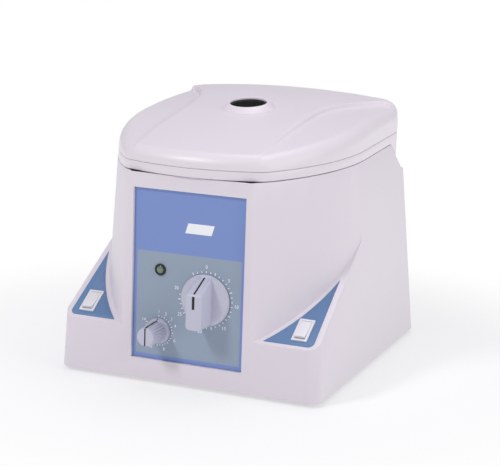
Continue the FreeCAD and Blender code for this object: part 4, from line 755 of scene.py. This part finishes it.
class Solids:
    """Simple closed solids added to a mesh under work, in local millimetres."""

    def __init__(self) -> None:
        """Starts an empty mesh."""
        self.work = bmesh.new()

    def prism(self, outline: Sequence[Sequence[float]], low: float, high: float) -> None:
        """Adds an upright prism on a counter-clockwise outline.

        Args:
            outline: corners in plan.
            low, high: its two levels.
        """
        below = [self.work.verts.new((x, y, low)) for x, y in outline]
        above = [self.work.verts.new((x, y, high)) for x, y in outline]
        self.work.faces.new(below[::-1])
        self.work.faces.new(above)
        bridge(self.work, below, above)

    def slab(self, x0: float, y0: float, x1: float, y1: float, low: float, high: float) -> None:
        """Adds a box."""
        self.prism([(x0, y0), (x1, y0), (x1, y1), (x0, y1)], low, high)

    def lathe(self, profile: Sequence[tuple[float, float]], count: int = 96) -> None:
        """Adds a turned solid; the profile runs from the axis, out and back to it."""
        turns = [2 * math.pi * k / count for k in range(count)]
        self.loft([[(radius * math.cos(turn), radius * math.sin(turn), level) for turn in turns]
                   for radius, level in profile[1:-1]])

    def loft(self, rings: Sequence[Sequence[tuple[float, float, float]]]) -> None:
        """Adds a closed solid through rings of points, flat at both ends."""
        rows = [[self.work.verts.new(point) for point in ring] for ring in rings]
        self.work.faces.new(rows[0][::-1])
        self.work.faces.new(rows[-1])
        for lower, upper in zip(rows, rows[1:]):
            bridge(self.work, lower, upper)

    def strip(self, start: Sequence[float], end: Sequence[float], width: float, thick: float) -> None:
        """Adds a thin bar in the plane x = 0, from one (y, z) place to another, lifted to its left."""
        (y0, z0), (y1, z1) = start, end
        length = math.hypot(y1 - y0, z1 - z0)
        ny, nz = (z1 - z0) / length, -(y1 - y0) / length
        if nz < 0:
            ny, nz = -ny, -nz
        corners = []
        for x in (-width / 2, width / 2):
            for lift in (-thick, thick):
                corners.append([(x, y0 + ny * lift, z0 + nz * lift), (x, y1 + ny * lift, z1 + nz * lift)])
        points = [self.work.verts.new(p) for pair in corners for p in pair]
        for face in ((0, 1, 3, 2), (4, 6, 7, 5), (0, 4, 5, 1), (2, 3, 7, 6), (0, 2, 6, 4), (1, 5, 7, 3)):
            self.work.faces.new([points[k] for k in face])

    def mesh(self, name: str, matrix: Optional[Matrix] = None) -> bpy.types.Mesh:
        """Ends the work as a mesh with its faces outward."""
        bmesh.ops.recalc_face_normals(self.work, faces=self.work.faces)
        if matrix is not None:
            bmesh.ops.transform(self.work, matrix=matrix, verts=self.work.verts)
        return ended(self.work, name)


class RingPattern:
    """Geometry Nodes tree that repeats an object's own mesh round its local Z axis."""

    def __init__(self) -> None:
        """Builds the tree once, with named inputs."""
        tree = bpy.data.node_groups.new("ring of pieces", "GeometryNodeTree")
        face = tree.interface
        face.new_socket("Piece", in_out="INPUT", socket_type="NodeSocketGeometry")
        self.keys = {}
        for name, kind, value in (("Count", "NodeSocketInt", 12), ("Radius", "NodeSocketFloat", 10.0),
                                  ("Start", "NodeSocketFloat", 0.0), ("Step", "NodeSocketFloat", 0.5),
                                  ("Long every", "NodeSocketInt", 5), ("Short share", "NodeSocketFloat", 1.0),
                                  ("Finish", "NodeSocketMaterial", None)):
            socket = face.new_socket(name, in_out="INPUT", socket_type=kind)
            if value is not None:
                socket.default_value = value
            self.keys[name] = socket.identifier
        face.new_socket("Geometry", in_out="OUTPUT", socket_type="NodeSocketGeometry")
        self.tree = tree
        self._wire()

    def _node(self, kind: str, **values: object) -> bpy.types.Node:
        """Adds a node and sets its properties."""
        node = self.tree.nodes.new(kind)
        for key, value in values.items():
            setattr(node, key, value)
        return node

    def _wire(self) -> None:
        """Points on an arc, a piece on each, every one turned outward."""
        link = self.tree.links.new
        source, target = self._node("NodeGroupInput"), self._node("NodeGroupOutput")
        index = self._node("GeometryNodeInputIndex")
        turn = self._node("ShaderNodeMath", operation="MULTIPLY_ADD")
        link(index.outputs[0], turn.inputs[0])
        link(source.outputs["Step"], turn.inputs[1])
        link(source.outputs["Start"], turn.inputs[2])
        place = self._node("ShaderNodeCombineXYZ")
        for operation, axis in (("COSINE", "X"), ("SINE", "Y")):
            wave = self._node("ShaderNodeMath", operation=operation)
            scale = self._node("ShaderNodeMath", operation="MULTIPLY")
            link(turn.outputs[0], wave.inputs[0])
            link(wave.outputs[0], scale.inputs[0])
            link(source.outputs["Radius"], scale.inputs[1])
            link(scale.outputs[0], place.inputs[axis])
        points = self._node("GeometryNodePoints")
        link(source.outputs["Count"], points.inputs["Count"])
        link(place.outputs[0], points.inputs["Position"])
        angles = self._node("ShaderNodeCombineXYZ")
        link(turn.outputs[0], angles.inputs["Z"])
        euler = self._node("FunctionNodeEulerToRotation")
        link(angles.outputs[0], euler.inputs[0])
        rest = self._node("ShaderNodeMath", operation="MODULO")
        link(index.outputs[0], rest.inputs[0])
        link(source.outputs["Long every"], rest.inputs[1])
        short = self._node("ShaderNodeMath", operation="GREATER_THAN")
        short.inputs[1].default_value = 0.5
        link(rest.outputs[0], short.inputs[0])
        length = self._node("ShaderNodeMix", data_type="FLOAT")
        length.inputs["A"].default_value = 1.0
        link(short.outputs[0], length.inputs["Factor"])
        link(source.outputs["Short share"], length.inputs["B"])
        size = self._node("ShaderNodeCombineXYZ")
        size.inputs["Y"].default_value = 1.0
        size.inputs["Z"].default_value = 1.0
        link(length.outputs["Result"], size.inputs["X"])
        copies = self._node("GeometryNodeInstanceOnPoints")
        link(points.outputs[0], copies.inputs["Points"])
        link(source.outputs["Piece"], copies.inputs["Instance"])
        link(euler.outputs[0], copies.inputs["Rotation"])
        link(size.outputs[0], copies.inputs["Scale"])
        real = self._node("GeometryNodeRealizeInstances")
        link(copies.outputs[0], real.inputs[0])
        finish = self._node("GeometryNodeSetMaterial")
        link(real.outputs[0], finish.inputs["Geometry"])
        link(source.outputs["Finish"], finish.inputs["Material"])
        link(finish.outputs[0], target.inputs[0])

    def repeat(self, piece: bpy.types.Mesh, finish: bpy.types.Material, **values: float) -> bpy.types.Mesh:
        """Runs the tree on a piece and returns the plain mesh it makes.

        Args:
            piece: mesh of one copy, outward along +X.
            finish: material of the copies.
            values: tree inputs by name, with spaces written as underscores.

        Returns:
            A plain mesh in the piece's own coordinates.
        """
        thing = bpy.data.objects.new("pattern", piece)
        bpy.context.scene.collection.objects.link(thing)
        modifier = thing.modifiers.new("pattern", "NODES")
        modifier.node_group = self.tree
        modifier[self.keys["Finish"]] = finish
        for name, value in values.items():
            modifier[self.keys[name.replace("_", " ")]] = value
        made = evaluated_mesh(thing)
        bpy.data.objects.remove(thing)
        return made


def merge(name: str, parts: Sequence[tuple[bpy.types.Mesh, Matrix]]) -> bpy.types.Mesh:
    """Joins meshes, each carried by its matrix, into one."""
    work = bmesh.new()
    for mesh, matrix in parts:
        copy = mesh.copy()
        copy.transform(matrix)
        work.from_mesh(copy)
        bpy.data.meshes.remove(copy)
    return ended(work, name)


def figures(words: str, height: float) -> bpy.types.Mesh:
    """A closed mesh of upright figures, centred on the origin.

    Args:
        words: the figures.
        height: letter height in millimetres.

    Returns:
        The mesh, 0.06 mm thick.
    """
    curve = bpy.data.curves.new("figures", "FONT")
    curve.body = words
    curve.size = height * 1.38
    curve.extrude = 0.03
    curve.resolution_u = 3
    curve.align_x = "CENTER"
    curve.align_y = "CENTER"
    thing = bpy.data.objects.new("figures", curve)
    bpy.context.scene.collection.objects.link(thing)
    mesh = evaluated_mesh(thing)
    mesh.materials.clear()
    bpy.data.objects.remove(thing)
    return mesh


@dataclass
class Housing:
    """The lower body: shell, base, feet and rear fittings."""

    shop: Workshop

    def build(self) -> None:
        """Builds and dresses the housing."""
        shop = self.shop
        shop.bevelled("housing_shell", Body.BASE, Slot.HOUSING, 0.7 * MM, 2, 28.0)
        shop.bevelled("base_plate", Body.BASE, Slot.PLATE, 0.3 * MM, 1)
        for name in ("front_left", "front_right", "rear_left", "rear_right"):
            shop.bevelled(f"foot_{name}", Body.BASE, Slot.RUBBER, 0.4 * MM)
        shop.bevelled("base_screws", Body.BASE, Slot.STEEL, 0.3 * MM)
        shop.bevelled("power_inlet", Body.BASE, Slot.BLACK, 0.5 * MM)
        shop.bevelled("inlet_pins", Body.BASE, Slot.BRASS, 0.3 * MM)
        shop.bevelled("fuse_drawer", Body.FUSE, Slot.BLACK, 0.4 * MM)
        for side in ("left", "right"):
            shop.bevelled(f"hinge_bracket_{side}", Body.BASE, Slot.STEEL, 0.2 * MM, 1)
            shop.bevelled(f"hinge_pin_{side}", Body.BASE, Slot.STEEL, 0.2 * MM, 1)


@dataclass
class Consoles:
    """The two sloped switch consoles: printed labels, bezels and rockers."""

    shop: Workshop

    def build(self) -> None:
        """Builds and dresses both consoles."""
        shop = self.shop
        for side, body in (("left", Body.ROCKER_LEFT), ("right", Body.ROCKER_RIGHT)):
            shop.bevelled(f"facet_label_{side}", Body.BASE, Slot.LABEL, 0.1 * MM, 1)
            shop.bevelled(f"rocker_bezel_{side}", Body.BASE, Slot.SWITCH, 0.5 * MM, 3)
            shop.bevelled(f"rocker_{side}", body, Slot.SWITCH, 0.5 * MM, 3)


@dataclass(frozen=True)
class DialScale:
    """Ticks and figures round one dial, in millimetres and degrees; turns run clockwise.

    Args:
        at: middle of the dial on the panel.
        tick: length and half width of a long tick.
        count: how many ticks.
        radius: where a tick begins.
        start: angle of the first tick.
        span: angle from one tick to the next.
        long_every: each so many ticks, one is long.
        short_share: length of the others, as a share.
        figure_radius: where the figures stand.
        figure_height: their height.
        values: the figures.
        first: the figure that stands upright over the dial.
        per_value: angle for each unit.
    """

    at: tuple[float, float]
    tick: tuple[float, float]
    count: int
    radius: float
    start: float
    span: float
    long_every: int
    short_share: float
    figure_radius: float
    figure_height: float
    values: tuple[int, ...]
    first: int
    per_value: float

    def place(self, value: int) -> tuple[float, float]:
        """Place of a figure on the panel."""
        turn = math.radians(90.0 - (value - self.first) * self.per_value)
        reach = self.figure_radius
        return self.at[0] + reach * math.cos(turn), self.at[1] + reach * math.sin(turn)


TIME_SCALE = DialScale((18.0, 83.0), (2.4, 0.4), 32, 25.7, 120.0, 9.84375, 5, 0.62, 31.0, 3.3,
                       (5, 10, 15, 20, 25, 30, 0), 0, 9.5)
SPEED_SCALE = DialScale((-29.5, 47.7), (1.8, 0.36), 27, 13.3, 90.0, 300.0 / 26, 2, 0.6, 18.2, 3.1,
                        (1, 2, 3, 4, 6, 8, 10, 12, 14), 1, 300.0 / 13)


@dataclass(frozen=True)
class TimeKnobForm:
    """Sizes of the large dial in its own millimetres; the panel is below it."""

    skirt: float = 24.4
    room: float = 8.5
    ceiling: float = 3.1
    half_grip: float = 7.9
    grip_low: float = 1.6
    shoulder: float = 1.6
    nose_share: float = 0.42
    top: float = 27.0
    rounding: float = 4.4
    soft_edge: float = 0.42

    def turned(self) -> list[tuple[float, float]]:
        """Profile of the skirt, hollow over the control's nut."""
        return [(0, self.ceiling), (self.room, self.ceiling), (self.room, 0), (24.0, 0), (self.skirt, 0.4),
                (self.skirt, 1.3), (24.0, 1.8), (21.3, 4.0), (20.6, 4.25), (0, 4.25)]

    def grip_side(self) -> list[tuple[float, float]]:
        """Side view of the grip, notched over the nut's room."""
        notch, over, low = self.room + 0.5, self.ceiling + 0.05, self.grip_low
        return [(-self.skirt + 0.3, low), (-notch, low), (-notch, over), (notch, over), (notch, low),
                (self.skirt - self.shoulder, low), (self.skirt * self.nose_share, self.top),
                (-self.skirt + 1.4, self.top)]


@dataclass(frozen=True)
class SpeedKnobForm:
    """Sizes of the small dial in its own millimetres; the panel is below it."""

    profile: tuple[tuple[float, float], ...] = (
        (0, 0), (12.0, 0), (12.2, 0.3), (12.2, 1.2), (10.8, 3.8), (9.7, 4.0), (8.5, 26.6), (8.35, 27.4),
        (7.8, 27.9), (7.0, 28.0), (0, 28.0))
    rib_levels: tuple[tuple[float, float, float], ...] = (
        (3.4, 10.35, 0.72), (6.0, 10.15, 0.7), (25.4, 8.95, 0.62), (26.9, 8.45, 0.45))
    rib_count: int = 24
    rib_start: float = 97.5

    def rib_rings(self) -> list[list[tuple[float, float, float]]]:
        """Cross sections of one rib, from its foot up."""
        rings = []
        for level, reach, half in self.rib_levels:
            base = 8.9 - (level - 4.0) * 0.055
            plan = ((base, -half), (reach - 0.3, -half), (reach, -half * 0.5), (reach, half * 0.5),
                    (reach - 0.3, half), (base, half))
            rings.append([(x, y, level) for x, y in plan])
        return rings


@dataclass
class Panel:
    """The recessed control panel with its lamp and two dials."""

    shop: Workshop
    plane: FrontPlane = FrontPlane()
    knob_gap: float = 0.6

    def build(self) -> None:
        """Builds and dresses the panel."""
        shop = self.shop
        shop.bevelled("control_panel", Body.BASE, Slot.PANEL, 0.1 * MM, 1)
        shop.bevelled("indicator_bezel", Body.BASE, Slot.BLACK, 0.2 * MM)
        shop.bevelled("indicator_lens", Body.BASE, Slot.LENS, 0.2 * MM)
        self.pattern = RingPattern()
        self.print_field()
        self.scales()
        self.time_knob()
        self.speed_knob()

    def on(self, place: tuple[float, float], out: float) -> Matrix:
        """Frame on the panel's face, lifted by a distance."""
        return self.plane.matrix(self.shop, place[0], place[1], out - self.plane.recess)

    def printed(self, name: str, mesh: bpy.types.Mesh, finish: Finish, body: Body, slot: Slot) -> None:
        """Hands a printed piece to its body."""
        self.shop.finish_piece(self.shop.new_object(name, mesh, finish.name), body, slot)

    def print_field(self) -> None:
        """The grey-blue field behind the controls and a plain light bar above it."""
        area, bar = Solids(), Solids()
        area.slab(-53.0, -49.5, 53.0, 49.5, 0.01, 0.05)
        self.printed("panel_field", area.mesh("panel_field", self.on((0.0, 73.5), 0.0)), PRINT_INNER,
                     Body.BASE, Slot.PANEL)
        bar.prism([(-4.5, 143.5), (22.0, 143.5), (25.0, 153.0), (-1.5, 153.0)], 0.01, 0.06)
        self.printed("panel_bar", bar.mesh("panel_bar", self.on((0.0, 0.0), 0.0)), PRINT_WHITE,
                     Body.BASE, Slot.PANEL)

    def scales(self) -> None:
        """Ticks and figures round both dials."""
        parts = [(self.ticks(scale), self.on(scale.at, 0.0)) for scale in (TIME_SCALE, SPEED_SCALE)]
        for scale in (TIME_SCALE, SPEED_SCALE):
            parts += [(figures(str(value), scale.figure_height), self.on(scale.place(value), 0.08))
                      for value in scale.values]
        self.printed("panel_scales", merge("panel_scales", parts), PRINT_WHITE, Body.BASE, Slot.PANEL)

    def ticks(self, scale: DialScale) -> bpy.types.Mesh:
        """Repeats one tick round a dial by the ring pattern."""
        length, half = scale.tick
        tick = Solids()
        tick.slab(-0.3, -half, length, half, 0.05, 0.11)
        white = self.shop.materials[PRINT_WHITE.name]
        return self.pattern.repeat(tick.mesh("tick"), white, Count=scale.count,
                                   Radius=scale.radius, Start=math.radians(scale.start),
                                   Step=math.radians(-scale.span), Long_every=scale.long_every,
                                   Short_share=scale.short_share)

    def time_knob(self) -> None:
        """The large dial: turned skirt over its nut's room, rounded grip and its black pointer line."""
        form, place = TimeKnobForm(), self.on(TIME_SCALE.at, self.knob_gap)
        disc = Solids()
        disc.lathe(form.turned())
        whole = merge("time_knob_looks", [(disc.mesh("disc"), place), (self.grip(form), place)])
        knob = self.shop.new_object("time_knob_looks", whole, Slot.KNOB.value, 34)
        self.shop.finish_piece(knob, Body.TIME, Slot.KNOB, ("time_knob",))
        line = Solids()
        foot = (form.skirt - form.shoulder - 0.5, 2.7)
        line.strip(foot, (form.skirt * form.nose_share + 0.9, 25.6), 1.5, 0.14)
        line.slab(-1.25, -3.0, 1.25, 9.0, 26.9, 27.12)
        self.printed("time_pointer", line.mesh("time_pointer", place), PRINT_DARK, Body.TIME, Slot.BLACK)

    @staticmethod
    def grip(form: TimeKnobForm) -> bpy.types.Mesh:
        """The large dial's grip: its edges rounded, sharp only where it sinks into the skirt.

        Args:
            form: sizes of the dial.

        Returns:
            A closed mesh in the dial's own millimetres.
        """
        work = bmesh.new()
        layer = work.edges.layers.float.new("bevel_weight_edge")
        side = form.grip_side()
        left = [work.verts.new((-form.half_grip, y, z)) for y, z in side]
        right = [work.verts.new((form.half_grip, y, z)) for y, z in side]
        work.faces.new(left)
        work.faces.new(right[::-1])
        for k in range(len(side)):
            after = (k + 1) % len(side)
            work.faces.new((left[k], right[k], right[after], left[after]))
        bmesh.ops.recalc_face_normals(work, faces=work.faces)
        for edge in work.edges:
            a, b = edge.verts
            sunk = max(a.co.z, b.co.z) < form.ceiling + 0.15
            rear_corner = a.co.y < 0 and b.co.y < 0 and abs(a.co.x - b.co.x) < 1e-6 and not sunk
            edge[layer] = 0.0 if sunk else (1.0 if rear_corner else form.soft_edge)
        thing = bpy.data.objects.new("grip", ended(work, "grip"))
        bpy.context.scene.collection.objects.link(thing)
        bevel = thing.modifiers.new("Rounding", "BEVEL")
        bevel.limit_method = "WEIGHT"
        bevel.width = form.rounding
        bevel.segments = 7
        rounded = evaluated_mesh(thing)
        bpy.data.objects.remove(thing)
        return rounded

    def speed_knob(self) -> None:
        """The small dial: turned body, ribs round the grip and its black pointer line."""
        form, place = SpeedKnobForm(), self.on(SPEED_SCALE.at, self.knob_gap)
        body, rib, line = Solids(), Solids(), Solids()
        body.lathe(form.profile)
        rib.loft(form.rib_rings())
        plastic = self.shop.materials[Slot.KNOB.value]
        ribs = self.pattern.repeat(rib.mesh("rib"), plastic, Count=form.rib_count,
                                   Radius=0.0, Start=math.radians(form.rib_start),
                                   Step=math.radians(360.0 / form.rib_count), Long_every=1, Short_share=1.0)
        whole = merge("speed_knob_looks", [(body.mesh("body"), place), (ribs, place)])
        knob = self.shop.new_object("speed_knob_looks", whole, Slot.KNOB.value, 34)
        self.shop.finish_piece(knob, Body.SPEED, Slot.KNOB, ("speed_knob",))
        line.strip((11.95, 1.7), (10.5, 3.9), 1.3, 0.12)
        line.strip((10.2, 3.7), (8.95, 26.3), 1.3, 0.25)
        line.slab(-0.65, -8.1, 0.65, 8.5, 27.75, 28.1)
        self.printed("speed_pointer", line.mesh("speed_pointer", place), PRINT_DARK, Body.SPEED, Slot.BLACK)


@dataclass
class Chamber:
    """Bowl, gasket, rotor and its nut."""

    shop: Workshop

    def build(self) -> None:
        """Builds and dresses the chamber."""
        shop = self.shop
        shop.bevelled("chamber_bowl", Body.BASE, Slot.STEEL, 0.0)
        shop.bevelled("bowl_screws", Body.BASE, Slot.STEEL, 0.2 * MM)
        shop.bevelled("chamber_gasket", Body.BASE, Slot.RUBBER, 0.3 * MM)
        shop.bevelled("rotor", Body.ROTOR, Slot.ROTOR, 0.3 * MM)
        shop.bevelled("rotor_nut", Body.ROTOR, Slot.ROTOR, 0.4 * MM)


@dataclass(frozen=True)
class Studio:
    """Camera, light, floor and surroundings."""

    azimuth: float = 22.929
    elevation: float = 13.167
    roll: float = 1.227
    lens: float = 115.74
    place: tuple[float, float, float] = (608.9, -1433.5, 480.3)

    def build(self, shop: Workshop) -> None:
        """Sets up the whole studio.

        Args:
            shop: gives the shift from the shell's coordinates.
        """
        self.camera(shop.shift)
        self.lights()
        self.world()
        self.floor()
        scene = bpy.context.scene
        scene.view_settings.view_transform = "Standard"
        scene.view_settings.look = "None"

    def camera(self, shift: Vector) -> None:
        """Stands the camera where the picture was taken from."""
        az, el, roll = (math.radians(v) for v in (self.azimuth, self.elevation, self.roll))
        back = Vector((math.sin(az) * math.cos(el), -math.cos(az) * math.cos(el), math.sin(el)))
        right = Vector((math.cos(az), math.sin(az), 0.0))
        up = back.cross(right)
        right, up = right * math.cos(roll) + up * math.sin(roll), up * math.cos(roll) - right * math.sin(roll)
        lens = bpy.data.cameras.new("camera")
        lens.lens = self.lens
        lens.sensor_width = 36.0
        lens.sensor_fit = "HORIZONTAL"
        camera = bpy.data.objects.new("camera", lens)
        place = Vector(self.place) * MM + shift
        camera.matrix_world = Matrix.Translation(place) @ Matrix((right, up, back)).transposed().to_4x4()
        bpy.context.scene.collection.objects.link(camera)
        bpy.context.scene.camera = camera

    @staticmethod
    def lamp(name: str, place: Sequence[float], size: float, power: float, colour: Sequence[float]) -> None:
        """Adds a square soft light that faces the object.

        Args:
            name: light name.
            place: where it hangs.
            size: side of the square.
            power: watts.
            colour: linear colour.
        """
        light = bpy.data.lights.new(name, "AREA")
        light.size = size
        light.energy = power
        light.color = colour
        thing = bpy.data.objects.new(name, light)
        thing.location = place
        direction = Vector((0.0, 0.0, 0.12)) - Vector(place)
        thing.rotation_euler = direction.to_track_quat("-Z", "Y").to_euler()
        bpy.context.scene.collection.objects.link(thing)

    def lights(self) -> None:
        """Soft key from the upper left, broad lights from the right and from above."""
        self.lamp("key", (-0.9, -1.5, 1.7), 0.45, 17.5, (1.0, 0.98, 0.97))
        self.lamp("side", (1.9, -0.3, 0.9), 1.4, 12.5, (1.0, 0.99, 0.98))
        self.lamp("top", (0.1, 0.3, 2.2), 1.4, 16.0, (0.97, 0.97, 1.0))

    @staticmethod
    def world() -> None:
        """Even fill light, and plain white where the camera sees past the floor."""
        world = bpy.data.worlds.new("surroundings")
        bpy.context.scene.world = world
        world.use_nodes = True
        tree = world.node_tree
        fill = tree.nodes["Background"]
        fill.inputs["Color"].default_value = (0.92, 0.91, 0.97, 1.0)
        fill.inputs["Strength"].default_value = 0.38
        white = tree.nodes.new("ShaderNodeBackground")
        white.inputs["Color"].default_value = (1.0, 1.0, 1.0, 1.0)
        white.inputs["Strength"].default_value = 1.0
        paths = tree.nodes.new("ShaderNodeLightPath")
        mix = tree.nodes.new("ShaderNodeMixShader")
        tree.links.new(paths.outputs["Is Camera Ray"], mix.inputs[0])
        tree.links.new(fill.outputs[0], mix.inputs[1])
        tree.links.new(white.outputs[0], mix.inputs[2])
        tree.links.new(mix.outputs[0], tree.nodes["World Output"].inputs["Surface"])

    @staticmethod
    def floor() -> None:
        """A plain pale floor that takes a soft shadow."""
        mesh = bpy.data.meshes.new("floor")
        reach = 6.0
        mesh.from_pydata([(-reach, -reach, 0), (reach, -reach, 0), (reach, reach, 0), (-reach, reach, 0)], [],
                         [(0, 1, 2, 3)])
        thing = bpy.data.objects.new("floor", mesh)
        bpy.context.scene.collection.objects.link(thing)
        material = bpy.data.materials.new("floor")
        material.use_nodes = True
        shader = material.node_tree.nodes["Principled BSDF"]
        shader.inputs["Base Color"].default_value = (0.93, 0.93, 0.94, 1.0)
        shader.inputs["Roughness"].default_value = 0.9
        shader.inputs["Specular IOR Level"].default_value = 0.1
        tree = material.node_tree
        place = tree.nodes.new("ShaderNodeTexCoord")
        away = tree.nodes.new("ShaderNodeVectorMath")
        away.operation = "LENGTH"
        fade = tree.nodes.new("ShaderNodeMapRange")
        fade.interpolation_type = "SMOOTHSTEP"
        fade.inputs["From Min"].default_value = 0.2
        fade.inputs["From Max"].default_value = 0.45
        fade.inputs["To Min"].default_value = 0.5
        glow = tree.nodes.new("ShaderNodeEmission")
        glow.inputs["Strength"].default_value = 1.0
        mix = tree.nodes.new("ShaderNodeMixShader")
        tree.links.new(place.outputs["Object"], away.inputs[0])
        tree.links.new(away.outputs["Value"], fade.inputs["Value"])
        tree.links.new(fade.outputs["Result"], mix.inputs[0])
        tree.links.new(shader.outputs[0], mix.inputs[1])
        tree.links.new(glow.outputs[0], mix.inputs[2])
        tree.links.new(mix.outputs[0], tree.nodes["Material Output"].inputs["Surface"])
        thing.data.materials.append(material)


def main() -> None:
    """Builds every sub-assembly in order."""
    logging.basicConfig(level=logging.INFO, format="%(name)s: %(message)s")
    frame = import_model()
    shop = Workshop(frame)
    for part in (Housing(shop), Consoles(shop), Panel(shop), Chamber(shop), Lid(shop)):
        part.build()
        log.info("built %s", type(part).__name__)
    Studio().build(shop)


if __name__ == "__main__":
    main()
